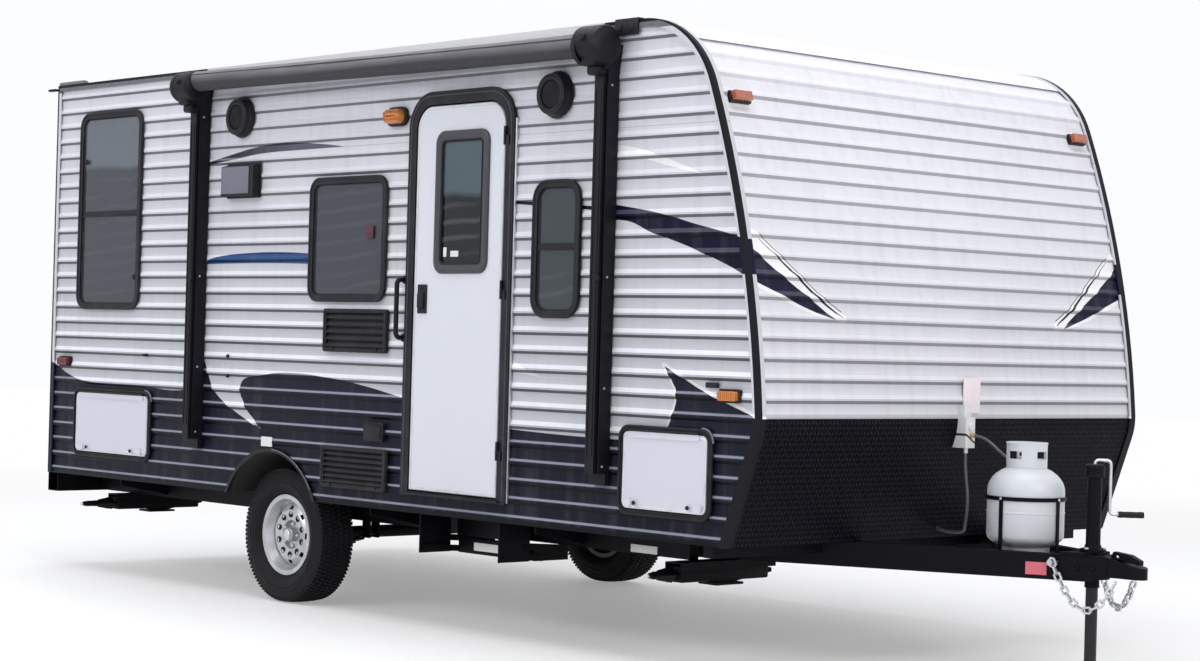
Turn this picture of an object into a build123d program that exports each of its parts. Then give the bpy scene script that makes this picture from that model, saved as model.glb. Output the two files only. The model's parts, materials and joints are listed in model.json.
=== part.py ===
from build123d import *
import os
from collections import namedtuple
from math import atan2, cos, degrees, hypot, radians, sin, sqrt

# A single-axle travel caravan, 20 ft class, all sizes in millimetres.
#
# It is drawn in a shop frame: X runs forward from the rear wall to the coupler, Y = 0 is the
# centre line with the entry door on the -Y side, and Z = 0 is the ground. The last lines move
# every piece so that the centre of the coupler's ball socket is the origin.

# ---------------------------------------------------------------- driving dimensions
BODY_W = 2438.0            # 8 ft over the side walls
HALF_W = BODY_W / 2
BODY_UNDER = 510.0         # ground to the lower edge of the siding
BODY_H = 2086.0            # lower edge of the siding to the roof
ROOF_Z = BODY_UNDER + BODY_H
ROOF_FLAT = 4596.0         # length of the flat roof, from the rear wall
TONGUE_L = 823.9           # front of the body to the tongue's apex, where its rails' centre lines meet
BALL_AHEAD = 55.0          # coupler's ball centre ahead of the apex
BALL_Z = 445.0             # ball centre over the ground

# The front's side profile goes on from the flat roof as arcs: turn in degrees, nose down.
TOP_R, TOP_TURN = 430.0, 69.0
BOW_R, BOW_TURN = 4527.0, 16.7
NOSE_R, NOSE_TURN = 260.0, 23.8

SKIN = 10.0                # depth of the corrugated siding
WALL = 40.0                # framed wall behind the siding
FLOOR_T = 90.0             # floor and its sealed underside
COURSE = 80.0              # height of one siding course
COURSE_FLAT = 42.0         # its flat upper part
COURSE_SLOPE = 18.0        # slope that comes out below the flat
COURSE_NOSE = 8.0          # flat nose of the course
TREAD_TOP = 507.0          # tread plate's top edge over the siding's lower edge

TRIM_W = 27.0              # edge mouldings, on each face
TRIM_T = 6.0               # how far they stand proud
DRIP_H = 24.0              # drip rail under the roof's edge
SPOUT_L = 70.0

# chassis
RAIL_W, RAIL_H = 51.0, 102.0
RAIL_Y = 860.0             # centre of each main rail
RAIL_REAR = 60.0
CROSS_W, CROSS_H = 51.0, 51.0
CROSS_X = (90.0, 1250.0, 2900.0)
CROSS_BACK = 128.9         # last of them, behind the tongue rails' rear ends
HEADER_BACK = 162.1        # cross member over the tongue rails, behind the body's front edge
OUTRIGGER_T = 6.0
OUTRIGGER_X = (650.0, 2800.0, 3950.0)
TONGUE_ANGLE = 24.5        # each tongue rail, off the centre line
NOSE_BACK = 125.0          # front ends of the rails, behind the apex
BUMPER = 102.0             # square tube
BUMPER_WALL = 4.0
BUMPER_INSET = 59.0        # each end inside the side wall
BUMPER_GAP = 6.0           # between the siding and the tube

# axle and wheels
AXLE_X = 2070.0
TYRE_R = 325.0
TYRE_W = 204.0
RIM_R = 178.0              # bead seat of a 14 inch rim
RIM_FLANGE_R = 193.0
RIM_W = 150.0
WHEEL_Y = 1040.0           # centre plane of each wheel
AXLE_R = 30.0
SPINDLE_R = 22.0
HUB_R = 62.0
HUB_CLEAR = 0.4
ARCH_R = 405.0             # wheel arch, about the wheel's centre
WELL_T = 5.0
WELL_IN = 885.0            # inner face of each wheel well, off the centre line
SPRING_Y = RAIL_Y
SPRING_W = 45.0
LEAF_T = 8.0
LEAF_LENGTHS = (660.0, 520.0, 380.0)
SPRING_SAG = 58.0

# entry door: handed for the -Y side, hinged at its front edge
DOOR_X, DOOR_Z = 3163.0, 616.0
DOOR_W, DOOR_DOWN = 600.0, 280.0                       # width, and its top edge below the roof
DOOR_H = ROOF_Z - DOOR_DOWN - DOOR_Z
DOOR_R = 100.0
DOOR_T = 38.0
DOOR_PROUD = 12.0
DOOR_GAP = 7.0
DOOR_FRAME_SIDE, DOOR_FRAME_TOP, DOOR_FRAME_FOOT = 62.0, 66.0, 26.0
DOOR_FRAME_PROUD = 16.0
DOOR_WIN = (DOOR_X + 142.0, DOOR_X + 500.0, DOOR_Z + 963.0, ROOF_Z - DOOR_DOWN - 116.0)
LATCH_IN, LATCH_UP = 56.0, 857.0                       # from the door's rear and lower edges
HINGE_R = 6.0
HINGE_GAP = 0.3            # between the knuckles, along the pin
HINGE_X_GAP = 10.0         # hinge pin ahead of the slab's front edge
HINGE_OUT = 24.0           # hinge pin outside the wall

# hatches: x0, x1, z0, z1 of the outer frame and the side of the body
Hatch = namedtuple("Hatch", "name x0 x1 z0 z1 side")
HATCHES = (
    Hatch("baggage_door_rear", 258.0, 1008.0, 618.0, 976.0, -1),
    Hatch("baggage_door_front", 4521.0, 5048.0, 606.0, 964.0, -1),
    Hatch("baggage_door_left", 4521.0, 5048.0, 606.0, 964.0, 1),
)
HATCH_R = 52.0
HATCH_BORDER = 25.0
HATCH_GAP = 5.0
HATCH_T = 30.0
HATCH_PROUD = 10.0
HATCH_PIN_OUT = 17.0       # pin line outside the wall
HATCH_PIN_UP = 7.0         # pin line over the door's top edge

# windows: outer frame, corner radius and the height of a divider bar, or None; tops follow the roof
Window = namedtuple("Window", "x0 x1 z0 z1 r bar side")
WINDOWS = (
    Window(254.0, 863.0, 1396.0, ROOF_Z - 162.0, 80.0, 1900.0, -1),
    Window(2353.0, 2942.0, 1449.0, ROOF_Z - 570.0, 70.0, None, -1),
    Window(3953.0, 4250.0, 1390.0, ROOF_Z - 629.0, 85.0, 1690.0, -1),
    Window(254.0, 863.0, 1396.0, ROOF_Z - 162.0, 80.0, 1900.0, 1),
    Window(2353.0, 3327.0, 1449.0, ROOF_Z - 570.0, 70.0, None, 1),
    Window(3953.0, 4250.0, 1390.0, ROOF_Z - 629.0, 85.0, 1690.0, 1),
)
REAR_WINDOW = (-520.0, 520.0, 1500.0, ROOF_Z - 556.0, 70.0)   # y0, y1, z0, z1, r
WIN_BORDER = 30.0
WIN_FLANGE = 12.0
WIN_PROUD = 12.0
WIN_BAR = 24.0
GLASS_T = 5.0

# awning
ARM_X = (1396.0, 4374.0)   # rear edge of each arm
ARM_W, ARM_D = 82.0, 75.0
ARM_Z0, ARM_Z1 = 760.0, ROOF_Z - 196.0
ROLL_R = 57.0
ROLL_OUT = 100.0           # roller's centre line outside the wall
ROLL_Z = ROOF_Z - 93.0
CAST_L = 150.0             # length of each end casting
CAST_R = 74.0
CAST_ROUND = 14.0

# step under the door: four arms swing the level tread out and down
STEP_X0, STEP_X1 = 3190.0, 3740.0
STEP_T = 26.0              # height of the tread's tray
STEP_SHEET = 3.0
STEP_ARM = 235.0           # pin to pin
STEP_ARM_T, STEP_ARM_H = 6.0, 28.0
STEP_PIN_R = 6.0
STEP_PINS = ((179.0 - HALF_W, 400.0), (59.0 - HALF_W, 360.0))   # inner and outer pins on the brackets, y and z
STEP_DROP = 15.0           # arm tips under their pins when folded
STEP_LIP = 40.0            # tread past the tip pins, each way
STEP_SIDE_GAP = 5.0        # between plates that pass each other

# gas cylinder
GAS_AHEAD = 341.9          # its centre ahead of the body's front
GAS_R = 156.0
GAS_H = 320.0
KNUCKLE_R, KNUCKLE_TURN = 64.0, 62.0
GAS_COLLAR_R, GAS_COLLAR_H = 98.0, 112.0
GAS_FOOT_R, GAS_FOOT_H = 112.0, 30.0
VALVE_R = 17.0
GAS_Z = 494.0

# tongue jack
JACK_BACK = 148.0          # its centre behind the tongue's apex
JACK_R, JACK_LEG_R = 29.0, 24.0
JACK_TOP = 860.0
JACK_TUBE_FOOT = 385.0
JACK_PLATE_T = 10.0
JACK_PAD_R, JACK_PAD_T = 60.0, 12.0
CRANK_R = 6.5

# coupler
BALL_R = 25.4
SOCKET_CLEAR = 0.4
SOCKET_MOUTH = 16.0        # straight mouth under the ball's centre
SOCKET_OVER = 2.0          # and how far its wall runs on above the centre
COUPLER_W = 76.0
COUPLER_REACH = 48.0       # ball centre to the nose
WING_L, WING_T = 190.0, 5.0

# safety chains
LINK_D, LINK_IN, LINK_WIDE = 8.0, 30.0, 14.0
LINK_GAP = 0.5

CHAIN_ENDS = ((-225.0, -157.0, 478.0), (10.0, -62.0, 424.0))     # first and last link, x from the apex
CHAIN_SAG = 150.0

# stabiliser jacks, folded up under the rails and lying across the body
STAB_L, STAB_W = 560.0, 92.0
STAB_X = (330.0, 4640.0)
STAB_Y = 460.0             # inner end, off the centre line
STAB_SCREW_R = 10.0

# fittings on the walls, by their places
VENT_PROUD = 16.0
LOUVRE_RIM = (20.0, 16.0)                              # sides, top and foot
LOUVRES = ((2494.0, 2968.0, 1219.0, 1413.0, 32.4), (2502.0, 2988.0, 592.0, 778.0, 25.7))  # x0, x1, z0, z1, pitch
HOOD_VENT = (1654.0, 1926.0, ROOF_Z - 640.0, ROOF_Z - 483.0, 46.0)     # x0, x1, z0, z1, proud
SMALL_HATCH = (2818.0, 2962.0, 816.0, 902.0)
SPEAKERS = ((1766.0, ROOF_Z - 254.0), (4083.0, ROOF_Z - 273.0))
SPEAKER_R, SPEAKER_PROUD = 98.0, 46.0
PORCH_LIGHT = (3000.0, ROOF_Z - 311.0)
SIDE_AMBER, SIDE_RED = (5135.0, 1100.0), (145.0, 1114.0)
FRONT_LAMP_Y, FRONT_LAMP_Z = HALF_W - 121.0, ROOF_Z - 326.0
REAR_LAMP_Y, REAR_LAMP_Z = (-FRONT_LAMP_Y, 0.0, FRONT_LAMP_Y), ROOF_Z - 116.0
TAIL_LAMP_Y, TAIL_LAMP_Z = HALF_W - 159.0, 760.0
PLATE_Y, PLATE_Z = -700.0, 760.0
HANDLE = (3080.0, 1290.0, 1550.0)                      # x, z0, z1
HANDLE_OUT, HANDLE_R = 46.0, 11.0
ROOF_VENTS = ((1150.0, 0.0), (3350.0, 0.0))
ROOF_VENT_W = 420.0
REGULATOR = (8.0, 897.0, 1075.0)                       # y, z0, z1
TRAY_R = 166.0
BAND_Z = 704.0
CRANK_SWING, CRANK_DROP, CRANK_GRIP, CRANK_TURN = 62.0, 190.0, 105.0, 45.0
HOSE_R = 6.5
HOSE_TANK = ((44.0, 0.0, 0.0), (108.0, -10.0, -22.0), (168.0, -16.0, -62.0), (216.0, -11.0, -92.0))
HOSE_SUPPLY = ((0.0, 0.0, -47.0), (9.0, -4.0, -122.0), (35.0, -20.0, -197.0), (51.0, -44.0, -267.0),
               (40.0, -40.0, -318.0), (2.0, 0.0, -352.0))
HOSE_END_Y, HOSE_END_Z = 40.0, 552.0                   # where the supply hose enters the body

# ---------------------------------------------------------------- worked-out places
TREAD_Z = BODY_UNDER + TREAD_TOP
SHELL = SKIN + WALL                      # outside of the siding to the cabin
FLOOR_Z = BODY_UNDER + FLOOR_T
WALL_OUT = HALF_W - SKIN
WALL_IN = WALL_OUT - WALL
RAIL_TOP = BODY_UNDER
RAIL_UNDER = RAIL_TOP - RAIL_H
NODES = {}


def keep(name, *solids):
    """Adds solids to the node of this name."""
    NODES.setdefault(name, []).extend(solids)


def block(x0, x1, y0, y1, z0, z1):
    return Pos((x0 + x1) / 2, (y0 + y1) / 2, (z0 + z1) / 2) * Box(x1 - x0, y1 - y0, z1 - z0)


def side_up(face, y0, y1):
    """A face drawn as (x, z) becomes a solid from y0 to y1."""
    return extrude(Plane.XZ.offset(-y1) * face, y1 - y0, dir=(0, -1, 0))


def end_on(face, x0, x1):
    """A face drawn as (y, z) becomes a solid from x0 to x1."""
    return extrude(Plane.YZ.offset(x0) * face, x1 - x0, dir=(1, 0, 0))


def plate_face(u0, u1, v0, v1, r=0.0):
    """A rectangle, with round corners where a radius is given."""
    size = (u1 - u0, v1 - v0)
    return Pos((u0 + u1) / 2, (v0 + v1) / 2) * (RectangleRounded(*size, r) if r else Rectangle(*size))


def side_panel(x0, x1, z0, z1, y0, y1, r=0.0):
    return side_up(plate_face(x0, x1, z0, z1, r), y0, y1)


def end_panel(y0, y1, z0, z1, x0, x1, r=0.0):
    return end_on(plate_face(y0, y1, z0, z1, r), x0, x1)


def door_panel(x0, x1, z0, z1, y0, y1, r):
    """Round at its two top corners and square at its foot."""
    mid = (z0 + z1) / 2
    return side_panel(x0, x1, z0, z1, y0, y1, r) + block(x0, x1, y0, y1, z0, mid)


def rod_x(x0, x1, y, z, r):
    return Location((x0, y, z), (0, 90, 0)) * Cylinder(r, x1 - x0, align=(Align.CENTER, Align.CENTER, Align.MIN))


def rod_y(x, y0, y1, z, r):
    return Location((x, y1, z), (90, 0, 0)) * Cylinder(r, y1 - y0, align=(Align.CENTER, Align.CENTER, Align.MIN))


def rod_z(x, y, z0, z1, r):
    return Pos(x, y, z0) * Cylinder(r, z1 - z0, align=(Align.CENTER, Align.CENTER, Align.MIN))


def span(side, near, far):
    """The two Y values of a piece from near to far off the centre line, on one side."""
    return tuple(sorted((side * near, side * far)))


def mirror_y(solid):
    return mirror(solid, about=Plane.XZ)


# ---------------------------------------------------------------- the body's side profile
def front_parts():
    """The front's arcs as (start point, heading, radius, turn), from the roof down."""
    x, z, heading = ROOF_FLAT, ROOF_Z, 0.0
    for radius, turn in ((TOP_R, TOP_TURN), (BOW_R, BOW_TURN), (NOSE_R, NOSE_TURN)):
        yield x, z, heading, radius, turn
        after = heading + turn
        x += radius * (sin(radians(after)) - sin(radians(heading)))
        z -= radius * (cos(radians(heading)) - cos(radians(after)))
        heading = after
    yield x, z, heading, None, None


def front_at(z):
    """X and outward heading of the front at a height, below the roof's arc or on it."""
    for x0, z0, heading, radius, turn in front_parts():
        if radius is None:
            slope = radians(heading)
            return x0 + (z0 - z) * cos(slope) / sin(slope), heading
        cos_after = cos(radians(heading)) - (z0 - z) / radius
        if cos_after >= cos(radians(heading + turn)):
            after = degrees(atan2(sqrt(1 - cos_after ** 2), cos_after))
            return x0 + radius * (sin(radians(after)) - sin(radians(heading))), after


FRONT_X = front_at(TREAD_Z)[0]           # the front, where the siding meets the tread plate
TONGUE_APEX = FRONT_X + TONGUE_L
TONGUE_NOSE = TONGUE_APEX - NOSE_BACK
BALL_X = TONGUE_APEX + BALL_AHEAD
JACK_X = TONGUE_APEX - JACK_BACK
GAS_X = FRONT_X + GAS_AHEAD


def body_face(inset=0.0):
    """The side profile, set in by a distance at the rear, roof and front, down to the siding's foot."""
    deep = BODY_UNDER - 2 * SHELL - TRIM_T
    foot_x = front_at(deep)[0]
    edges = [
        Line((0, deep), (0, ROOF_Z)),
        Line((0, ROOF_Z), (ROOF_FLAT, ROOF_Z)),
    ]
    for x, z, heading, radius, turn in front_parts():
        if radius is None:
            edges.append(Line((x, z), (foot_x, deep)))
        else:
            ahead = (cos(radians(heading)), -sin(radians(heading)))
            edges.append(JernArc((x, z), ahead, radius, -turn))
    edges.append(Line((foot_x, deep), (0, deep)))
    face = make_face(edges)
    if inset:
        face = offset(face, -inset)
    return face & plate_face(-SHELL, BALL_X, BODY_UNDER, ROOF_Z + SHELL)


def shell_ring(outer, inner, y0, y1):
    """A band that follows the profile between two insets, open below."""
    return side_up(body_face(outer), y0, y1) - side_up(body_face(inner), y0, y1)


# ---------------------------------------------------------------- openings in the walls
def window_hole(w):
    y0, y1 = span(w.side, WALL_IN - 1, HALF_W + 1)
    f = WIN_FLANGE
    return side_panel(w.x0 + f, w.x1 - f, w.z0 + f, w.z1 - f, y0, y1, w.r - f)


def hatch_hole(h):
    y0, y1 = span(h.side, WALL_IN - 1, HALF_W + 1)
    f = HATCH_BORDER / 2
    return side_panel(h.x0 + f, h.x1 - f, h.z0 + f, h.z1 - f, y0, y1, HATCH_R - f)


def door_hole():
    y0, y1 = span(-1, WALL_IN - 1, HALF_W + 1)
    s, t, b = DOOR_FRAME_SIDE / 2, DOOR_FRAME_TOP / 2, DOOR_FRAME_FOOT / 2
    return door_panel(DOOR_X - s, DOOR_X + DOOR_W + s, DOOR_Z - b, DOOR_Z + DOOR_H + t, y0, y1, DOOR_R + s)


def arch_hole(side):
    y0, y1 = span(side, WELL_IN, HALF_W + 1)
    return rod_y(AXLE_X, y0, y1, TYRE_R, ARCH_R)


def wall_holes(side):
    holes = [window_hole(w) for w in WINDOWS if w.side == side]
    holes += [hatch_hole(h) for h in HATCHES if h.side == side]
    holes.append(arch_hole(side))
    if side < 0:
        holes.append(door_hole())
    return holes


# ---------------------------------------------------------------- walls and siding
def ribbed(height):
    """Outline of a stack of siding courses, as (out, up) points from the foot to the top."""
    ledge = SKIN * 0.25
    points = [(0.0, 0.0), (ledge, 0.0)]
    count = round(height / COURSE)
    for i in range(count):
        top = height - COURSE * (count - 1 - i)
        flat = top - COURSE_FLAT
        slope = flat - COURSE_SLOPE
        nose = slope - COURSE_NOSE
        corners = ((SKIN, nose), (SKIN, slope), (ledge, flat), (ledge, top))
        points += [corner for corner in corners if corner[1] > 0]
    return points + [(0.0, height)]


def side_wall(side):
    y0, y1 = span(side, WALL_IN, WALL_OUT)
    slab = side_up(body_face(SHELL), y0, y1)
    outline = [(side * (WALL_OUT + out), BODY_UNDER + up) for out, up in ribbed(BODY_H)]
    courses = end_on(make_face(Polyline(*outline, close=True)), 0, BALL_X)
    y0, y1 = span(side, WALL_OUT, HALF_W)
    siding = side_up(body_face(), y0, y1) & courses
    for hole in wall_holes(side):
        slab -= hole
        siding -= hole
    name = "right" if side < 0 else "left"
    keep("wall_" + name, slab)
    keep("siding_" + name, siding)


def floor_and_shell():
    floor = side_up(body_face(SHELL), -WALL_IN, WALL_IN) & block(0, BALL_X, -WALL_IN, WALL_IN, 0, FLOOR_Z)
    for side in (-1, 1):
        floor -= arch_hole(side)
    keep("floor", floor)
    ring = shell_ring(SKIN, SHELL, -WALL_OUT, WALL_OUT)
    keep("roof", ring & block(SHELL, ROOF_FLAT, -WALL_OUT, WALL_OUT, FLOOR_Z, ROOF_Z))
    keep("wall_front", ring & block(ROOF_FLAT, BALL_X, -WALL_OUT, WALL_OUT, 0, ROOF_Z))
    rear = ring & block(0, SHELL, -WALL_OUT, WALL_OUT, 0, ROOF_Z)
    y0, y1, z0, z1, r = REAR_WINDOW
    f = WIN_FLANGE
    rear_hole = end_panel(y0 + f, y1 - f, z0 + f, z1 - f, -1, SHELL + 1, r - f)
    keep("wall_rear", rear - rear_hole)
    outline = [(SKIN - out, BODY_UNDER + up) for out, up in ribbed(BODY_H - SKIN)]
    rear_skin = side_up(make_face(Polyline(*outline, close=True)), -WALL_OUT, WALL_OUT)
    keep("siding_rear", rear_skin - rear_hole)


def front_skins():
    """Corrugated sheet over the front from the roof to the tread plate, and the plate."""
    outer = []
    for out, up in ribbed(ROOF_Z - TREAD_Z - COURSE)[1:-1]:
        z = TREAD_Z + up
        x, heading = front_at(z)
        back = SKIN - out
        outer.append((x - back * sin(radians(heading)), z - back * cos(radians(heading))))
    skin = shell_ring(0, SKIN, -WALL_OUT, WALL_OUT) & block(ROOF_FLAT, BALL_X, -WALL_OUT, WALL_OUT, 0, ROOF_Z)
    outline = [(ROOF_FLAT, TREAD_Z)] + outer + [(ROOF_FLAT, outer[-1][1])]
    ribs = side_up(make_face(Polyline(*outline, close=True)), -WALL_OUT, WALL_OUT)
    bare = block(ROOF_FLAT, BALL_X, -WALL_OUT, WALL_OUT, outer[-1][1], ROOF_Z)
    keep("siding_front", (skin & ribs) + (skin & bare))
    keep("tread_plate", skin & block(ROOF_FLAT, BALL_X, -WALL_OUT, WALL_OUT, 0, TREAD_Z))
    keep("roof", block(SKIN, ROOF_FLAT, -WALL_OUT, WALL_OUT, ROOF_Z - SKIN, ROOF_Z))


def edge_trims():
    """Mouldings over the corners between the sides and the front, roof and rear."""
    for side in (-1, 1):
        y0, y1 = span(side, WALL_OUT - TRIM_W, HALF_W + TRIM_T)
        band = shell_ring(-TRIM_T, 0, y0, y1)
        y2, y3 = span(side, HALF_W, HALF_W + TRIM_T)
        band += shell_ring(0, TRIM_W, y2, y3)
        keep("edge_trims", band)
        spout_y = span(side, HALF_W + TRIM_T, HALF_W + TRIM_T + DRIP_H)
        keep("edge_trims", block(-SPOUT_L, 0, *spout_y, ROOF_Z - DRIP_H, ROOF_Z - DRIP_H / 2))


# ---------------------------------------------------------------- windows
def windows():
    for w in WINDOWS:
        flange = span(w.side, HALF_W, HALF_W + WIN_PROUD)
        sleeve = span(w.side, WALL_IN, HALF_W)
        through = span(w.side, WALL_IN - 1, HALF_W + WIN_PROUD + 1)
        f, b = WIN_FLANGE, WIN_BORDER
        frame = side_panel(w.x0, w.x1, w.z0, w.z1, *flange, w.r)
        frame += side_panel(w.x0 + f, w.x1 - f, w.z0 + f, w.z1 - f, *sleeve, w.r - f)
        inner = (w.x0 + b, w.x1 - b, w.z0 + b, w.z1 - b)
        frame -= side_panel(*inner, *through, w.r - b)
        pane = side_panel(*inner, *span(w.side, HALF_W - GLASS_T, HALF_W), w.r - b)
        if w.bar:
            bar = span(w.side, HALF_W - GLASS_T - 8, HALF_W + WIN_PROUD / 2)
            divider = block(inner[0], inner[1], *bar, w.bar - WIN_BAR / 2, w.bar + WIN_BAR / 2)
            frame += divider
            pane -= divider
        keep("window_frames", frame)
        keep("window_glass", *pane.solids())
    y0, y1, z0, z1, r = REAR_WINDOW
    f, b = WIN_FLANGE, WIN_BORDER
    frame = end_panel(y0, y1, z0, z1, -WIN_PROUD, 0, r)
    frame += end_panel(y0 + f, y1 - f, z0 + f, z1 - f, 0, SHELL, r - f)
    frame -= end_panel(y0 + b, y1 - b, z0 + b, z1 - b, -WIN_PROUD - 1, SHELL + 1, r - b)
    keep("window_frames", frame)
    keep("window_glass", end_panel(y0 + b, y1 - b, z0 + b, z1 - b, 0, GLASS_T, r - b))


# ---------------------------------------------------------------- entry door
def entry_door():
    x0, x1, z0, z1 = DOOR_X, DOOR_X + DOOR_W, DOOR_Z, DOOR_Z + DOOR_H
    s, t, b, g = DOOR_FRAME_SIDE, DOOR_FRAME_TOP, DOOR_FRAME_FOOT, DOOR_GAP
    out = -(HALF_W + DOOR_FRAME_PROUD)
    frame = door_panel(x0 - s, x1 + s, z0 - b, z1 + t, out, -HALF_W, DOOR_R + s)
    frame += door_panel(x0 - s / 2, x1 + s / 2, z0 - b / 2, z1 + t / 2, -HALF_W, -WALL_IN, DOOR_R + s / 2)
    frame -= door_panel(x0 - g, x1 + g, z0 - g, z1 + g, out - 1, -WALL_IN + 1, DOOR_R + g)
    keep("door_frame", frame)
    face = -(HALF_W + DOOR_PROUD)
    slab = door_panel(x0, x1, z0, z1, face, face + DOOR_T, DOOR_R)
    wx0, wx1, wz0, wz1 = DOOR_WIN
    slab -= side_panel(wx0 + 12, wx1 - 12, wz0 + 12, wz1 - 12, face - 1, face + DOOR_T + 1, 40)
    keep("door_slab", slab)
    rim = side_panel(wx0, wx1, wz0, wz1, face - 10, face, 52)
    rim += side_panel(wx0 + 12, wx1 - 12, wz0 + 12, wz1 - 12, face, face + DOOR_T, 40)
    rim -= side_panel(wx0 + 42, wx1 - 42, wz0 + 42, wz1 - 42, face - 11, face + DOOR_T + 1, 20)
    keep("door_fittings", rim)
    keep("door_glass", side_panel(wx0 + 42, wx1 - 42, wz0 + 42, wz1 - 42, face, face + GLASS_T, 20))
    # hinge leaves on the frame, knuckles round the pin line and leaves on the slab
    pin_x, pin_y = x1 + HINGE_X_GAP, -(HALF_W + HINGE_OUT)
    for z in (z0 + 160, (z0 + z1) / 2, z1 - 190):
        keep("door_frame", rod_z(pin_x, pin_y, z, z + 40, HINGE_R))
        keep("door_frame", block(pin_x - 2, pin_x + 26, pin_y, out, z, z + 40) - rod_z(pin_x, pin_y, z, z + 40, HINGE_R))
        foot = z + 40 + HINGE_GAP
        knuckle = rod_z(pin_x, pin_y, foot, z + 80, HINGE_R)
        knuckle += block(x1 - 30, pin_x, pin_y - 3, pin_y + 3, foot, z + 80)
        knuckle += block(x1 - 30, x1 - 6, pin_y + 3, face, foot, z + 80)
        keep("door_fittings", knuckle)
    # latch: a flush paddle in a bezel
    lx, lz = x0 + LATCH_IN, z0 + LATCH_UP
    latch = side_panel(lx - 48, lx + 48, lz - 80, lz + 80, face - 8, face, 14)
    latch += side_panel(lx - 30, lx + 30, lz - 52, lz + 30, face - 22, face - 8, 10)
    latch += Location((lx, face, lz + 52), (90, 0, 0)) * Cylinder(14, 12, align=(Align.CENTER, Align.CENTER, Align.MIN))
    keep("door_fittings", latch)


def baggage_doors():
    for h in HATCHES:
        out = HALF_W + HATCH_PROUD
        b, g = HATCH_BORDER, HATCH_GAP
        flange, sleeve = span(h.side, HALF_W, out), span(h.side, WALL_IN, HALF_W)
        frame = side_panel(h.x0, h.x1, h.z0, h.z1, *flange, HATCH_R)
        m = b / 2
        frame += side_panel(h.x0 + m, h.x1 - m, h.z0 + m, h.z1 - m, *sleeve, HATCH_R - m)
        through = span(h.side, WALL_IN - 1, out + 1)
        frame -= side_panel(h.x0 + b - g, h.x1 - b + g, h.z0 + b - g, h.z1 - b + g, *through, HATCH_R - b + g)
        keep("baggage_frames", frame)
        slab = side_panel(h.x0 + b, h.x1 - b, h.z0 + b, h.z1 - b, *span(h.side, out - HATCH_T, out), HATCH_R - b)
        pin_y, pin_z = h.side * (HALF_W + HATCH_PIN_OUT), h.z1 - b + HATCH_PIN_UP
        long_leaf = block(h.x0 + b + 40, h.x1 - b - 40, *span(h.side, out, out + 6), pin_z - 30, pin_z - 5.3)
        slab += long_leaf
        for share in (0.12, 0.88):
            x = h.x0 + (h.x1 - h.x0) * share
            slab += side_panel(x - 20, x + 20, h.z0 + b + 8, h.z0 + b + 38, *span(h.side, out, out + 9), 8)
        keep(h.name, slab)
        knuckle = rod_x(h.x0 + b + 40, h.x1 - b - 40, pin_y, pin_z, 5)
        knuckle += block(h.x0 + b + 40, h.x1 - b - 40, *span(h.side, out, abs(pin_y)), pin_z, pin_z + 5)
        keep("baggage_frames", knuckle)


# ---------------------------------------------------------------- chassis
def tongue_y(x):
    """Centre of a tongue rail at a station."""
    return (TONGUE_APEX - x) * sin(radians(TONGUE_ANGLE)) / cos(radians(TONGUE_ANGLE))


TONGUE_REAR = TONGUE_APEX - (RAIL_Y - RAIL_W / 2) / (sin(radians(TONGUE_ANGLE)) / cos(radians(TONGUE_ANGLE)))


def chassis():
    for side in (-1, 1):
        y0, y1 = span(side, RAIL_Y - RAIL_W / 2, RAIL_Y + RAIL_W / 2)
        keep("main_rails", block(RAIL_REAR, TONGUE_REAR + 320, y0, y1, RAIL_UNDER, RAIL_TOP))
        # each tongue rail butts against the inside of a main rail
        long = hypot(TONGUE_NOSE - TONGUE_REAR, tongue_y(TONGUE_REAR)) + 200
        rail = Box(long, RAIL_W, RAIL_H, align=(Align.MAX, Align.CENTER, Align.MAX))
        rail = Location((TONGUE_APEX, 0, RAIL_TOP), (0, 0, -side * TONGUE_ANGLE)) * rail
        room = block(RAIL_REAR, TONGUE_NOSE, *span(side, 0, RAIL_Y - RAIL_W / 2), 0, RAIL_TOP)
        keep("tongue_rails", rail & room)
        for x in OUTRIGGER_X:
            y0, y1 = span(side, RAIL_Y + RAIL_W / 2, WALL_IN)
            face = make_face(Polyline(
                (RAIL_Y + RAIL_W / 2, RAIL_TOP), (WALL_IN, RAIL_TOP), (WALL_IN, RAIL_TOP - 35),
                (RAIL_Y + RAIL_W / 2, RAIL_UNDER + 12), close=True))
            solid = end_on(face, x, x + OUTRIGGER_T)
            keep("cross_members", solid if side > 0 else mirror_y(solid))
    inside = RAIL_Y - RAIL_W / 2
    for x in (*CROSS_X, TONGUE_REAR - CROSS_BACK):
        keep("cross_members", block(x, x + CROSS_W, -inside, inside, RAIL_TOP - CROSS_H, RAIL_TOP))
    x = front_at(BODY_UNDER)[0] - HEADER_BACK
    header = block(x, x + CROSS_W, -WALL_IN, WALL_IN, RAIL_TOP - CROSS_H, RAIL_TOP)
    for rail in NODES["tongue_rails"]:
        header -= rail
    keep("cross_members", *header.solids())
    # bumper: an open square tube on two brackets
    z1 = RAIL_TOP - 4
    x1 = -BUMPER_GAP
    half = HALF_W - BUMPER_INSET
    tube = block(x1 - BUMPER, x1, -half, half, z1 - BUMPER, z1)
    w = BUMPER_WALL
    tube -= block(x1 - BUMPER + w, x1 - w, -half - 1, half + 1, z1 - BUMPER + w, z1 - w)
    keep("rear_bumper", tube)
    for side in (-1, 1):
        y0, y1 = span(side, RAIL_Y - RAIL_W / 2, RAIL_Y + RAIL_W / 2)
        keep("rear_bumper", block(x1, RAIL_REAR, y0, y1, RAIL_UNDER + 8, RAIL_TOP - 12))


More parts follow.
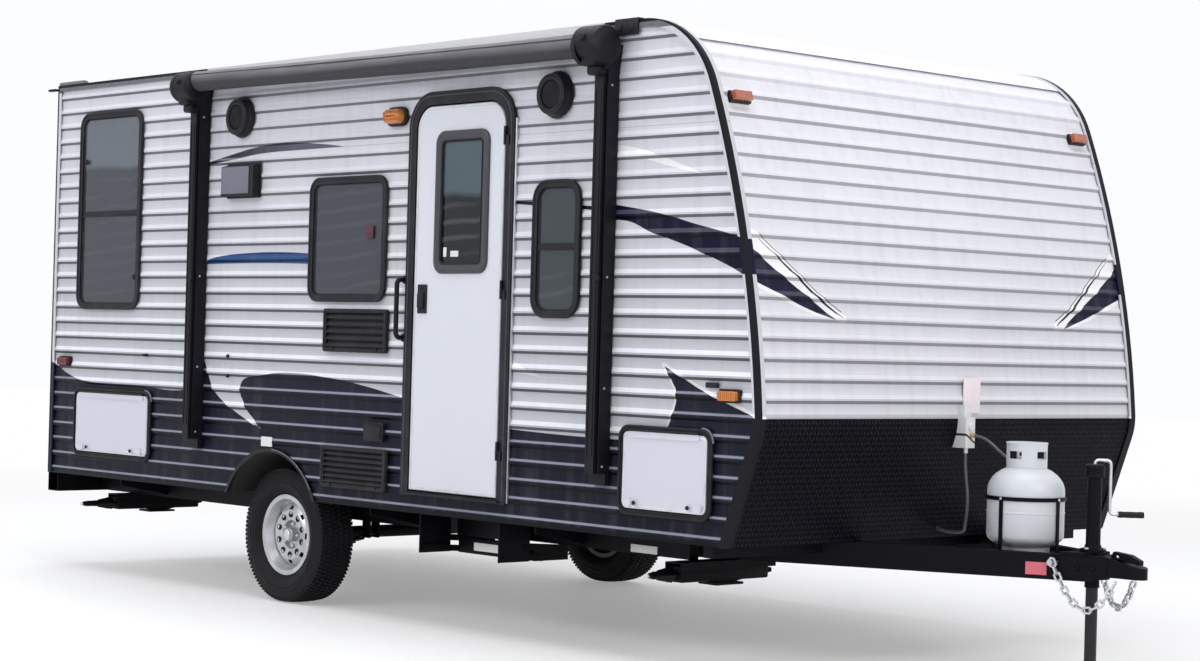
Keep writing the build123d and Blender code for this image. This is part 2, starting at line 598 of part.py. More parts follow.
def axle_and_springs():
    axle = rod_y(AXLE_X, -SPRING_Y - 60, SPRING_Y + 60, TYRE_R, AXLE_R)
    for side in (-1, 1):
        axle += rod_y(AXLE_X, *span(side, SPRING_Y + 60, SPRING_Y + 75), TYRE_R, 55)
        axle += rod_y(AXLE_X, *span(side, SPRING_Y + 75, WHEEL_Y + 40), TYRE_R, SPINDLE_R)
    keep("axle", axle)
    for side in (-1, 1):
        y0, y1 = span(side, SPRING_Y - SPRING_W / 2, SPRING_Y + SPRING_W / 2)
        top = TYRE_R - AXLE_R
        pack = None
        for i, length in enumerate(LEAF_LENGTHS):
            # every leaf bends about the longest leaf's centre of curvature
            radius = (LEAF_LENGTHS[0] / 2) ** 2 / (2 * SPRING_SAG) + SPRING_SAG / 2
            outer = radius + (i + 1) * LEAF_T
            ring = rod_y(AXLE_X, y0, y1, top + radius, outer) - rod_y(AXLE_X, y0 - 1, y1 + 1, top + radius, outer - LEAF_T)
            leaf = ring & block(AXLE_X - length / 2, AXLE_X + length / 2, y0, y1, top - 60, top + 40 + SPRING_SAG)
            pack = leaf if pack is None else pack + leaf
        keep("leaf_springs", pack)
        eye_z = top + SPRING_SAG + 4
        for end in (-1, 1):
            x = AXLE_X + end * (LEAF_LENGTHS[0] / 2 + 8)
            ears = []
            for off in (-1, 1):
                ya = side * SPRING_Y + off * (SPRING_W / 2 + 4)
                ears.append(side_panel(x - 30, x + 30, eye_z - 28, RAIL_UNDER, ya - 3, ya + 3))
            pin = rod_y(x, side * SPRING_Y - SPRING_W / 2 - 12, side * SPRING_Y + SPRING_W / 2 + 12, eye_z, 8)
            keep("leaf_springs", pin + ears[0] + ears[1])
            eye = rod_y(x, y0, y1, eye_z, 16) - rod_y(x, y0 - 1, y1 + 1, eye_z, 8.3)
            keep("leaf_springs", eye)


def wheel_wells():
    for side in (-1, 1):
        y0, y1 = span(side, WELL_IN, HALF_W - SKIN)
        shell = rod_y(AXLE_X, y0, y1, TYRE_R, ARCH_R - 0.3)
        a, b = span(side, WELL_IN + WELL_T, HALF_W + 1)
        shell -= rod_y(AXLE_X, a, b, TYRE_R, ARCH_R - WELL_T)
        keep("wheel_wells", shell & block(0, BALL_X, y0, y1, BODY_UNDER, ROOF_Z))
        lip = rod_y(AXLE_X, *span(side, HALF_W - SKIN, HALF_W + 5), TYRE_R, ARCH_R + 12)
        lip -= rod_y(AXLE_X, *span(side, HALF_W - SKIN - 1, HALF_W + 6), TYRE_R, ARCH_R - WELL_T)
        lip -= rod_y(AXLE_X, *span(side, HALF_W - SKIN - 1, HALF_W), TYRE_R, ARCH_R + 13) - rod_y(
            AXLE_X, *span(side, HALF_W - SKIN - 1, HALF_W), TYRE_R, ARCH_R - 0.3)
        keep("arch_lips", lip & block(0, BALL_X, *span(side, 0, HALF_W + 6), BODY_UNDER, ROOF_Z))


def wheels():
    for side in (-1, 1):
        name = "right" if side < 0 else "left"
        w = TYRE_W / 2
        bead = RIM_W / 2 - 6.3
        # tyre section as (across, radius): bead, bulged wall, shoulder and crowned tread, then back
        wall = [(bead, RIM_FLANGE_R + 3), (w - 10, RIM_FLANGE_R + 21), (w, RIM_FLANGE_R + 55), (w - 3.5, TYRE_R - 49),
                (w - 14, TYRE_R - 25), (w - 21.5, TYRE_R - 13.5), (w - 34, TYRE_R - 6)]
        edges = [Line((-bead, RIM_R + 0.3), (bead, RIM_R + 0.3)),
                 ThreePointArc((-w + 34, TYRE_R - 6), (0, TYRE_R), (w - 34, TYRE_R - 6))]
        for way in (-1, 1):
            points = [(way * across, radius) for across, radius in wall]
            edges.append(Line((way * bead, RIM_R + 0.3), points[0]))
            edges += [ThreePointArc(*points[i:i + 3]) for i in (0, 2, 4)]
        section = make_face(edges)
        tyre = revolve(section, Axis.X)
        turn = Location((AXLE_X, side * WHEEL_Y, TYRE_R), (0, 0, 90 * side))
        keep("tyre_" + name, turn * tyre)
        # rim: flanges and a dropped centre, with a dished disc near the outer side
        h = RIM_W / 2
        barrel = make_face(Polyline(
            (-h, RIM_FLANGE_R), (-h + 6, RIM_FLANGE_R), (-h + 6, RIM_R), (-h + 40, RIM_R - 20),
            (h - 40, RIM_R - 20), (h - 6, RIM_R), (h - 6, RIM_FLANGE_R), (h, RIM_FLANGE_R),
            (h, RIM_R - 6), (h - 38, RIM_R - 26), (-h + 38, RIM_R - 26), (-h, RIM_R - 6), close=True))
        disc = make_face(Polyline(
            (30, RIM_R - 26), (52, RIM_R - 60), (44, 70), (24, 60), (24, 34), (18, 34),
            (18, 66), (38, 76), (44, RIM_R - 62), (22, RIM_R - 26), close=True))
        hub = make_face(Polyline(
            (-62, SPINDLE_R + HUB_CLEAR), (-62, HUB_R - 10), (-20, HUB_R), (18, HUB_R), (18, 34),
            (60, 33), (66, 28), (66, 0), (60, 0), (60, SPINDLE_R + HUB_CLEAR), close=True))
        rim = revolve(barrel, Axis.X) + revolve(disc, Axis.X)
        for i in range(8):
            spot = Rot(X=45 * i) * Location((20, 0, RIM_R - 52), (0, 90, 0))
            rim -= spot * Cylinder(15, 60)
        rim += revolve(hub, Axis.X)
        keep("rim_" + name, turn * rim)


# ---------------------------------------------------------------- step
def arm_plate(x, pin, reach, eye_r):
    """One arm from its pin on the bracket to its tip, with an eye at each end."""
    y, z = pin
    lean = -degrees(atan2(STEP_DROP, reach))
    face = Pos(y + reach / 2, z - STEP_DROP / 2) * SlotCenterToCenter(STEP_ARM, STEP_ARM_H, rotation=lean)
    face -= Pos(y, z) * Circle(eye_r)
    face -= Pos(y + reach, z - STEP_DROP) * Circle(eye_r)
    return end_on(face, x, x + STEP_ARM_T)


def step():
    """Brackets under the floor, an inner and an outer pair of arms, and the tray of the tread."""
    reach = sqrt(STEP_ARM ** 2 - STEP_DROP ** 2)
    t, gap, w = STEP_ARM_T, STEP_SIDE_GAP, STEP_SHEET
    (in_y, in_z), (out_y, out_z) = STEP_PINS
    tread_y = (out_y + reach - STEP_LIP, in_y + reach + STEP_LIP)
    ear_z = (out_z - STEP_DROP - STEP_ARM_H / 2, in_z - STEP_DROP + STEP_ARM_H / 2)
    top = sum(ear_z) / 2 + STEP_T / 2
    x0, x1 = STEP_X0 + 2 * (t + gap), STEP_X1 - 2 * (t + gap)
    tray = block(x0, x1, *tread_y, top - STEP_T, top)
    tray -= block(x0 + w, x1 - w, tread_y[0] + w, tread_y[1] - w, top - STEP_T - 1, top - w)
    for edge, inward in ((STEP_X0, 1), (STEP_X1, -1)):
        # from outside inwards: bracket, the two arms in one plane, ear of the tread
        bracket, arms, ear = (
            sorted((edge + inward * i * (t + gap), edge + inward * (i * (t + gap) + t))) for i in range(3))
        keep("step_brackets", block(*bracket, out_y - 26, in_y + 30, out_z - 26, RAIL_TOP))
        tray += block(*ear, *tread_y, *ear_z)
        for name, pin, slack in (("step_arms_outer", STEP_PINS[1], 0.5), ("step_arms_inner", STEP_PINS[0], 0.3)):
            keep(name, arm_plate(arms[0], pin, reach, STEP_PIN_R + slack))
            keep("step_brackets", rod_x(min(bracket[0], arms[0]), max(bracket[1], arms[1]), *pin, STEP_PIN_R))
            tip = (pin[0] + reach, pin[1] - STEP_DROP)
            tray += rod_x(min(ear[0], arms[0]), max(ear[1], arms[1]), *tip, STEP_PIN_R)
    keep("step_tread", tray)


# ---------------------------------------------------------------- fittings on the walls
def awning():
    y_wall, y_roll = -HALF_W, -(HALF_W + ROLL_OUT)
    wall_t, bar_gap = 6.0, 9.0
    for i, x in enumerate(ARM_X):
        x1, y1 = x + ARM_W, -(HALF_W + ARM_D)
        # channel against the wall with the folded arm lying in it
        section = make_face(Polyline(
            (x, y_wall), (x1, y_wall), (x1, y1 + 14), (x1 - wall_t, y1 + 14), (x1 - wall_t, y_wall - wall_t),
            (x1 - wall_t - bar_gap, y_wall - wall_t), (x1 - wall_t - bar_gap, y1),
            (x + wall_t + bar_gap, y1), (x + wall_t + bar_gap, y_wall - wall_t), (x + wall_t, y_wall - wall_t),
            (x + wall_t, y1 + 14), (x, y1 + 14), close=True))
        keep("awning_arms", Pos(0, 0, ARM_Z0) * extrude(section, ARM_Z1 - ARM_Z0, dir=(0, 0, 1)))
        foot = block(x - 8, x1 + 8, y_wall - 30, y_wall, ARM_Z0 - 45, ARM_Z0)
        keep("awning_arms", foot)
        x0 = x + (ARM_W - CAST_L) / 2
        head = rod_x(x0, x0 + CAST_L, y_roll, ROLL_Z, CAST_R)
        head = fillet(head.edges().filter_by(GeomType.CIRCLE), CAST_ROUND)
        neck = side_up(make_face(Polyline((x, ARM_Z1), (x1, ARM_Z1), (x1 + 18, ROLL_Z), (x - 18, ROLL_Z), close=True)),
                       y1 - 12, y_wall)
        keep("awning_arms", head + neck)
    roll_x = (ARM_X[0] + (ARM_W + CAST_L) / 2, ARM_X[1] + (ARM_W - CAST_L) / 2)
    keep("awning_roll", rod_x(*roll_x, y_roll, ROLL_Z, ROLL_R))


def vents():
    """Louvred vents: a flanged frame with slats that slope outwards."""
    side, foot = LOUVRE_RIM
    for x0, x1, z0, z1, pitch in LOUVRES:
        y0, y1 = -(HALF_W + VENT_PROUD), -HALF_W
        frame = side_panel(x0, x1, z0, z1, y0, y1, 12)
        frame -= side_panel(x0 + side, x1 - side, z0 + foot, z1 - foot, y0 - 1, y1 + 1)
        frame += block(x0 + side, x1 - side, y1 - 3, y1, z0 + foot, z1 - foot)
        slats = round((z1 - z0 - 2 * foot) / pitch)
        step = (z1 - z0 - 2 * foot) / slats
        for i in range(slats):
            z = z0 + foot + i * step
            slat = end_on(make_face(Polyline(
                (y0, z + step * 0.18), (y0, z + step * 0.34), (y1 - 3, z + step), (y1 - 3, z + step * 0.82),
                close=True)), x0 + side, x1 - side)
            frame += slat
        keep("side_vents", frame)
    x0, x1, z0, z1, proud = HOOD_VENT
    section = make_face(Polyline(
        (-HALF_W, z0), (-HALF_W, z1), (-(HALF_W + proud), z1 - 12), (-(HALF_W + proud), z0), close=True))
    hood = end_on(section, x0, x1) - block(x0 + 6, x1 - 6, -(HALF_W + proud) + 4, -HALF_W - 4, z0 - 1, z0 + 22)
    keep("side_vents", hood)


def seated(solid, node):
    """A base whose back is shaped to the siding that it sits on."""
    for skin in NODES[node]:
        solid -= skin
    return solid


def round_boss(x, z, r, proud, side, cone=0.0):
    """A round fitting on a side wall."""
    start = -HALF_W if side < 0 else HALF_W
    face = Plane((x, start, z), x_dir=(1, 0, 0), z_dir=(0, side, 0)) * Circle(r)
    return extrude(face, proud, taper=cone)


def side_fittings():
    for x, z in SPEAKERS:
        speaker = round_boss(x, z, SPEAKER_R, SPEAKER_PROUD, -1, 14)
        mouth = Plane((x, -(HALF_W + SPEAKER_PROUD), z), x_dir=(1, 0, 0), z_dir=(0, 1, 0)) * Circle(SPEAKER_R * 0.62)
        keep("speakers", speaker - extrude(mouth, 12))
    x, z = PORCH_LIGHT
    keep("lamp_bases", side_panel(x - 75, x + 75, z - 42, z + 42, -(HALF_W + 14), -HALF_W, 40))
    keep("amber_lamps", side_panel(x - 58, x + 58, z - 30, z + 30, -(HALF_W + 46), -(HALF_W + 14), 29))
    for side in (-1, 1):
        for node, (x, z) in (("amber_lamps", SIDE_AMBER), ("red_lamps", SIDE_RED)):
            base = span(side, WALL_OUT + SKIN / 4, HALF_W + 6)
            lens = span(side, HALF_W + 6, HALF_W + 28)
            skin = "siding_right" if side < 0 else "siding_left"
            keep("lamp_bases", seated(side_panel(x - 56, x + 56, z - 25, z + 25, *base, 8), skin))
            keep(node, side_panel(x - 48, x + 48, z - 19, z + 19, *lens, 8))
        x, heading = front_at(FRONT_LAMP_Z)
        lean = Location((x, side * FRONT_LAMP_Y, FRONT_LAMP_Z), (0, heading - 90, 0))
        back = SKIN * 0.75
        base = lean * (Pos((10 - back) / 2, 0, 0) * Box(10 + back, 112, 46))
        keep("lamp_bases", seated(base, "siding_front"))
        keep("amber_lamps", lean * (Pos(21, 0, 0) * Box(22, 96, 36)))
    for y in REAR_LAMP_Y:
        base = end_panel(y - 56, y + 56, REAR_LAMP_Z - 25, REAR_LAMP_Z + 25, -8, SKIN * 0.75, 8)
        keep("lamp_bases", seated(base, "siding_rear"))
        keep("red_lamps", end_panel(y - 48, y + 48, REAR_LAMP_Z - 19, REAR_LAMP_Z + 19, -28, -8, 8))
    for side in (-1, 1):
        y0, y1 = span(side, TAIL_LAMP_Y - 55, TAIL_LAMP_Y + 55)
        keep("lamp_bases", end_panel(y0 - 8, y1 + 8, TAIL_LAMP_Z - 108, TAIL_LAMP_Z + 108, -10, 0, 20))
        keep("red_lamps", end_panel(y0, y1, TAIL_LAMP_Z - 100, TAIL_LAMP_Z + 100, -40, -10, 18))
    keep("lamp_bases", end_panel(PLATE_Y - 158, PLATE_Y + 158, PLATE_Z - 80, PLATE_Z + 80, -6, 0, 10))
    # assist handle: a bent tube from two feet on the wall beside the door
    x, z0, z1 = HANDLE
    y0, y1 = -HALF_W, -(HALF_W + HANDLE_OUT)
    path = FilletPolyline((x, y0, z0), (x, y1, z0), (x, y1, z1), (x, y0, z1), radius=HANDLE_OUT / 2)
    handle = sweep(Plane(path @ 0, z_dir=path % 0) * Circle(HANDLE_R), path=path)
    for z in (z0, z1):
        handle += round_boss(x, z, HANDLE_R * 1.7, 5, -1)
    keep("grab_handle", handle)
    # square hatch by the wheel arch, its frame and flap
    x0, x1, z0, z1 = SMALL_HATCH
    keep("side_vents", side_panel(x0, x1, z0, z1, -(HALF_W + 14), -HALF_W, 8))
    # roof vents: low lids on frames
    for x, y in ROOF_VENTS:
        lid = Pos(x, y, ROOF_Z) * (Pos(0, 0, 12) * Box(ROOF_VENT_W, ROOF_VENT_W, 24))
        top = Rectangle(ROOF_VENT_W - 30, ROOF_VENT_W - 30)
        lid += Pos(x, y, ROOF_Z + 24) * extrude(top, 46, taper=18)
        keep("roof_vents", fillet(lid.edges().filter_by_position(Axis.Z, ROOF_Z + 60, ROOF_Z + 80), 10))


# ---------------------------------------------------------------- tongue
def gas_cylinder():
    r, z0 = GAS_R, GAS_Z
    # each dome is a knuckle arc from the side and a wide crown arc over the axis
    turn, rest = radians(KNUCKLE_TURN), 90 - KNUCKLE_TURN
    crown = (r - KNUCKLE_R * (1 - cos(turn))) / cos(turn)
    dome = KNUCKLE_R * sin(turn) + crown * (1 - sin(turn))
    z1, low, high = z0 + GAS_H, z0 + GAS_FOOT_H + dome, z0 + GAS_H - dome
    knuckle = JernArc((r, high), (0, 1), KNUCKLE_R, KNUCKLE_TURN)
    over = JernArc(knuckle @ 1, knuckle % 1, crown, rest)
    lower = JernArc((r, low), (0, -1), KNUCKLE_R, -KNUCKLE_TURN)
    under = JernArc(lower @ 1, lower % 1, crown, -rest)
    body = make_face([
        Line(under @ 1, over @ 1), over, knuckle, Line((r, high), (r, low)), lower, under])
    place = Pos(GAS_X, 0, 0)
    tank = revolve(Plane.XZ * body, Axis.Z)
    foot = Pos(0, 0, z0) * (Cylinder(GAS_FOOT_R, GAS_FOOT_H + 24, align=(Align.CENTER, Align.CENTER, Align.MIN))
                            - Cylinder(GAS_FOOT_R - 4, GAS_FOOT_H + 24, align=(Align.CENTER, Align.CENTER, Align.MIN)))
    top = z0 + GAS_H - 30
    collar = Pos(0, 0, top) * (
        Cylinder(GAS_COLLAR_R, GAS_COLLAR_H + 30, align=(Align.CENTER, Align.CENTER, Align.MIN))
        - Cylinder(GAS_COLLAR_R - 4, GAS_COLLAR_H + 30, align=(Align.CENTER, Align.CENTER, Align.MIN)))
    slot_z = top + 30 + GAS_COLLAR_H * 0.55
    for angle, wide, tall in ((-74, 88, 34), (-14, 36, 34), (100, 110, 60), (180, 70, 74)):
        cut = Rot(Z=angle) * (Pos(GAS_COLLAR_R, 0, slot_z) * Box(60, wide, tall))
        collar -= cut
    valve = rod_z(0, 0, z0 + GAS_H, z0 + GAS_H + 46, VALVE_R) + Pos(0, 0, z0 + GAS_H + 46) * Cylinder(
        30, 16, align=(Align.CENTER, Align.CENTER, Align.MIN))
    keep("gas_cylinder", place * (tank + foot + collar + valve))
    # tray between the tongue rails, a band round the cylinder and four straps down to the tray
    tray_t, bar_h = 5.0, 14.0
    tray = rod_z(GAS_X, 0, GAS_Z - tray_t, GAS_Z, TRAY_R)
    for x in (GAS_X - 90, GAS_X + 60):
        bar = block(x, x + 30, -RAIL_Y, RAIL_Y, GAS_Z - tray_t - bar_h, GAS_Z - tray_t)
        reach = tongue_y(x) - RAIL_W / 2 / cos(radians(TONGUE_ANGLE))
        bar = bar & block(x, x + 30, -reach, reach, 0, ROOF_Z)
        for rail in NODES["tongue_rails"]:
            bar -= rail
        tray += bar
    band_r = GAS_R + 0.3
    tray += rod_z(GAS_X, 0, BAND_Z, BAND_Z + 16, band_r + 5) - rod_z(GAS_X, 0, BAND_Z - 1, BAND_Z + 17, band_r)
    for i in range(4):
        strap = Rot(Z=90 * i) * block(band_r + 2, band_r + 7, -8, 8, GAS_Z - 2, BAND_Z + 14)
        tray += Pos(GAS_X, 0, 0) * strap
    keep("gas_bracket", tray)


def corner_radii(points):
    """The largest radius that each corner's two runs allow, and the turn there in degrees."""
    radii = []
    for before, here, after in zip(points, points[1:], points[2:]):
        into, out = Vector(*here) - Vector(*before), Vector(*after) - Vector(*here)
        turn = into.get_angle(out)
        half = radians(turn / 2)
        radii.append(0.45 * min(into.length, out.length) * cos(half) / sin(half))
    return radii


def regulator_and_hoses():
    """Regulator on the tread plate, a hose to the cylinder's valve and one back into the body."""
    y, z0, z1 = REGULATOR
    x = front_at(TREAD_Z)[0]
    body = block(x - 40, x + 46, y - 30, y + 30, z0, z1 - 50)
    body += block(x - 40, x + 30, y - 22, y + 22, z1 - 50, z1)
    body = fillet(body.edges().filter_by(Axis.Z), 7)
    for node in ("tread_plate", "siding_front", "wall_front"):
        body = seated(body, node)
    keep("gas_regulator", max(body.solids(), key=lambda part: part.volume))
    start = (x + 46, y, z0 + 53)
    tank = [start] + [tuple(a + b for a, b in zip(start, off)) for off in HOSE_TANK]
    valve_z = GAS_Z + GAS_H + 31
    tank += [(GAS_X - VALVE_R - 26, 0, valve_z), (GAS_X - VALVE_R, 0, valve_z)]
    start = (x + 19, y, z0)
    supply = [start] + [tuple(a + b for a, b in zip(start, off)) for off in HOSE_SUPPLY]
    foot_x, heading = front_at(HOSE_END_Z)
    away = (40 * sin(radians(heading)), 40 * cos(radians(heading)))
    supply += [(foot_x + away[0], HOSE_END_Y, HOSE_END_Z + away[1]), (foot_x, HOSE_END_Y, HOSE_END_Z)]
    for name, points in (("hose_tank", tank), ("hose_supply", supply)):
        radii = corner_radii(points)
        path = FilletPolyline(*points, radius=radii)
        print(name, "length", round(path.length), "corner radii", [round(r) for r in radii])
        keep(name, sweep(Plane(path @ 0, z_dir=path % 0) * Circle(HOSE_R), path=path))


def tongue_jack():
    plate_top = RAIL_TOP + JACK_PLATE_T
    corner_x = JACK_X - 70
    y_rear, y_front = tongue_y(corner_x) + RAIL_W / 2, tongue_y(TONGUE_NOSE) + RAIL_W / 2
    outline = ((corner_x, -y_rear), (TONGUE_NOSE, -y_front), (TONGUE_NOSE, y_front), (corner_x, y_rear))
    plate = Pos(0, 0, RAIL_TOP) * extrude(make_face(Polyline(*outline, close=True)), JACK_PLATE_T, dir=(0, 0, 1))
    tube = plate + rod_z(JACK_X, 0, JACK_TUBE_FOOT, JACK_TOP - 30, JACK_R)
    tube += rod_z(JACK_X, 0, plate_top, plate_top + 8, JACK_R + 22)
    tube += rod_z(JACK_X, 0, JACK_TOP - 44, JACK_TOP, JACK_R + 9)
    tube -= rod_z(JACK_X, 0, JACK_TUBE_FOOT - 1, plate_top + 60, JACK_LEG_R + 0.3)
    keep("tongue_jack", tube)
    leg = rod_z(JACK_X, 0, JACK_PAD_T, plate_top + 60, JACK_LEG_R)
    keep("jack_leg", leg + rod_z(JACK_X, 0, 0, JACK_PAD_T, JACK_PAD_R))
    ahead, down = CRANK_SWING, CRANK_DROP
    path = FilletPolyline(
        (0, 0, JACK_TOP), (0, 0, JACK_TOP + 22), (ahead, 0, JACK_TOP + 22), (ahead, 0, JACK_TOP - down),
        (ahead + 30, 0, JACK_TOP - down), radius=16)
    crank = sweep(Plane(path @ 0, z_dir=path % 0) * Circle(CRANK_R), path=path)
    grip = rod_x(ahead + 30, ahead + 30 + CRANK_GRIP, 0, JACK_TOP - down, 11)
    turn = Location((JACK_X, 0, 0), (0, 0, CRANK_TURN))
    keep("jack_crank", turn * crank)
    keep("jack_crank", turn * grip)


def coupler():
    """Pressed coupler: wings over the tongue rails, a hollow nose and the ball socket."""
    z0, z1 = BALL_Z - SOCKET_MOUTH, RAIL_TOP
    wide, x_wing = COUPLER_W / 2, JACK_X + JACK_R + 5
    nose = BALL_X + COUPLER_REACH
    # the flanks follow the rails' outer faces, then close in to the nose
    out = (RAIL_W / 2 + WING_T / 2) / cos(radians(TONGUE_ANGLE))
    flank = [(x, tongue_y(x) + out) for x in (x_wing, x_wing + 72)] + [(x_wing + 112, wide), (BALL_X, wide)]
    far = [(x, -y) for x, y in flank]
    plan = make_face([
        Polyline(*flank), Polyline(*far), Line(flank[0], far[0]),
        ThreePointArc(flank[-1], (nose, 0), far[-1]),
    ])
    body = Pos(0, 0, z0) * extrude(plan, z1 - z0, dir=(0, 0, 1))
    slope = make_face(Polyline((x_wing + 60, z1 + 1), (nose + 9, z1 + 1), (nose + 9, z1 - 38), (BALL_X - 30, z1 - 24), close=True))
    body -= side_up(slope, -WALL_IN, WALL_IN)
    r = BALL_R + SOCKET_CLEAR
    body -= block(x_wing - 1, BALL_X - 52, -wide + 6, wide - 6, z0 - 1, z1 - 8)
    body -= Pos(BALL_X, 0, BALL_Z) * Sphere(r)
    body -= rod_z(BALL_X, 0, z0 - 1, BALL_Z + SOCKET_OVER, r)
    lever = side_up(make_face(Polyline(
        (BALL_X - 108, z1 - 4), (BALL_X - 96, z1 + 20), (BALL_X - 20, z1 + 12), (BALL_X + 26, z1 - 8),
        (BALL_X + 26, z1 - 26), (BALL_X - 30, z1 - 17), (BALL_X - 60, z1 - 12), close=True)), -14, 14)
    lever -= body
    for side in (-1, 1):
        # wings welded along the outer faces of the tongue rails
        wing = block(-60 - WING_L, -60, RAIL_W / 2, RAIL_W / 2 + WING_T, RAIL_UNDER + 12, RAIL_TOP - 6)
        wing = Location((TONGUE_APEX, 0, 0), (0, 0, -TONGUE_ANGLE)) * wing
        body += wing if side > 0 else mirror_y(wing)
    keep("coupler", *body.solids())
    keep("coupler", *lever.solids())


def safety_chains():
    """Oval links, each a quarter turn from the last, along a hanging curve on each side."""
    half, wide, d = LINK_IN / 2, LINK_WIDE / 2, LINK_D
    outer = [(half + d - 4, -wide), (half + d, 0), (half + d - 4, wide), (half - 2, wide + d), (-half + 2, wide + d),
             (-half - d + 4, wide), (-half - d, 0), (-half - d + 4, -wide), (-half + 2, -wide - d), (half - 2, -wide - d)]
    inner = [(half, 0), (half - 5, wide), (-half + 5, wide), (-half, 0), (-half + 5, -wide), (half - 5, -wide)]
    flat = make_face(Polyline(*outer, close=True)) - make_face(Polyline(*inner, close=True))
    link = Pos(0, 0, -d / 2) * extrude(flat, d, dir=(0, 0, 1))
    (ax, ay, az), (bx, by, bz), sag = CHAIN_ENDS[0], CHAIN_ENDS[1], CHAIN_SAG
    ax, bx = TONGUE_APEX + ax, TONGUE_APEX + bx

    def at(t):
        return Vector(ax + (bx - ax) * t, ay + (by - ay) * t, az + (bz - az) * t - 4 * sag * t * (1 - t))

    centres, t = [at(0)], 0.0
    while t < 1.0:
        if (at(t) - centres[-1]).length >= LINK_IN - LINK_GAP:
            centres.append(at(t))
        t += 0.0005
    for side in (-1, 1):
        # a bolt through the first link, into the tongue rail's flank
        x, y = centres[0].X, tongue_y(centres[0].X) + RAIL_W / 2
        bolt = rod_y(x, *span(side, y, abs(centres[0].Y) + 14), centres[0].Z, wide - 0.2)
        bolt += rod_y(x, *span(side, abs(centres[0].Y) + 14, abs(centres[0].Y) + 22), centres[0].Z, 12)
        for node in ("tongue_rails", "coupler"):
            bolt = seated(bolt, node)
        keep("safety_chains", max(bolt.solids(), key=lambda part: part.volume))
        for i, centre in enumerate(centres):
            before, after = centres[max(i - 1, 0)], centres[min(i + 1, len(centres) - 1)]
            along = (after - before).normalized()
            frame = Plane(centre, x_dir=along, z_dir=along.cross(Vector(0, 0, 1)).cross(along) if i % 2 else along.cross(Vector(0, 0, 1)))
            placed = frame * link
            keep("safety_chains", placed if side < 0 else mirror_y(placed))


def stabilisers():
    """Scissor jacks folded flat under the rails: a base channel, arms, foot and screw."""
    for x in STAB_X:
        for side in (-1, 1):
            y0, y1 = STAB_Y, STAB_Y + STAB_L
            top = RAIL_UNDER
            w, mid = STAB_W / 2, (STAB_Y + STAB_Y + STAB_L) / 2
            base = block(x - w, x + w, y0, y1, top - 5, top)
            base += block(x - w, x - w + 5, y0, y1, top - 34, top - 5) + block(x + w - 5, x + w, y0, y1, top - 34, top - 5)
            arms = None
            for sign in (-1, 1):
                arm = end_on(make_face(Polyline(
                    (mid + sign * 30, top - 8), (mid + sign * STAB_L * 0.47, top - 40),
                    (mid + sign * STAB_L * 0.47, top - 58), (mid + sign * 30, top - 90),
                    (mid + sign * 30, top - 68), (mid + sign * (STAB_L * 0.47 - 60), top - 49),
                    (mid + sign * 30, top - 28), close=True)), x - w + 8, x + w - 8)
                arms = arm if arms is None else arms + arm
            foot = block(x - w - 6, x + w + 6, mid - 80, mid + 80, top - 100, top - 90)
            arms += block(x - w + 8, x + w - 8, mid - 36, mid + 36, top - 90, top - 68)
            arms += block(x - w + 8, x + w - 8, mid - 36, mid + 36, top - 28, top - 5)
            screw = rod_y(x, y0 + 6, y1 + 90, top - 49, STAB_SCREW_R)
            head = rod_y(x, y1 + 90, y1 + 112, top - 49, 16)
            unit = arms + base + foot + screw + head
            keep("stabilisers", unit if side > 0 else mirror_y(unit))


# ---------------------------------------------------------------- write the files
def main():
    side_wall(-1)
    side_wall(1)
    floor_and_shell()
    front_skins()
    edge_trims()
    windows()
    entry_door()
    baggage_doors()
    chassis()
    axle_and_springs()
    wheel_wells()
    wheels()
    step()
    awning()
    vents()
    side_fittings()
    gas_cylinder()
    regulator_and_hoses()
    tongue_jack()
    coupler()
    safety_chains()
    stabilisers()
    os.makedirs("parts", exist_ok=True)
    to_row = Location((-BALL_X, 0, -BALL_Z))
    for name, solids in NODES.items():
        flat = [s for solid in solids for s in solid.solids()]
        export_step(Compound(children=[to_row * s for s in flat]), f"parts/{name}.step")


main()
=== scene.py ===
import json
from math import atan2, cos, pi, radians, sin, sqrt

import bmesh
import bpy
from mathutils import Matrix, Vector


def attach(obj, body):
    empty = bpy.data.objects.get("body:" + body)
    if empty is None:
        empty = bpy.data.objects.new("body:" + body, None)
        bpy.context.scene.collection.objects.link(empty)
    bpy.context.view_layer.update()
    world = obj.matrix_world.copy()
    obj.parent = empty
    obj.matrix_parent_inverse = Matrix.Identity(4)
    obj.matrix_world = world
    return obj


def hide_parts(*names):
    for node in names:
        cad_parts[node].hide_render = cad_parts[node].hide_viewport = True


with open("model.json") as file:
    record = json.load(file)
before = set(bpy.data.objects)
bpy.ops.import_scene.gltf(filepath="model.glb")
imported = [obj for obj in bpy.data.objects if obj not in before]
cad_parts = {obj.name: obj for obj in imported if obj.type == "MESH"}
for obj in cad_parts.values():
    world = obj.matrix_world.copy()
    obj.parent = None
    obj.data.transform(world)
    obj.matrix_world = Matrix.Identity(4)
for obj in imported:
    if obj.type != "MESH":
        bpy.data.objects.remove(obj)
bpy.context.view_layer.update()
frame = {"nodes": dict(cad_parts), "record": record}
nodes = frame["nodes"]
MM = 0.001
ZERO_X, ZERO_Z = 6165.0, 445.0  # the row frame's zero, from the rear wall and from the ground
HALF_W = 1219.0  # from the centre line to a side wall
AXLE_X, AXLE_Z, HALF_TRACK = 2070, 325, 1040.0
TANK_X, JACK_X, APEX_X = 5628, 5962, 6110
RAIL_ANGLE = radians(24.5)
UP, OUT, AHEAD = (0, 0, 1), (0, -1, 0), (1, 0, 0)


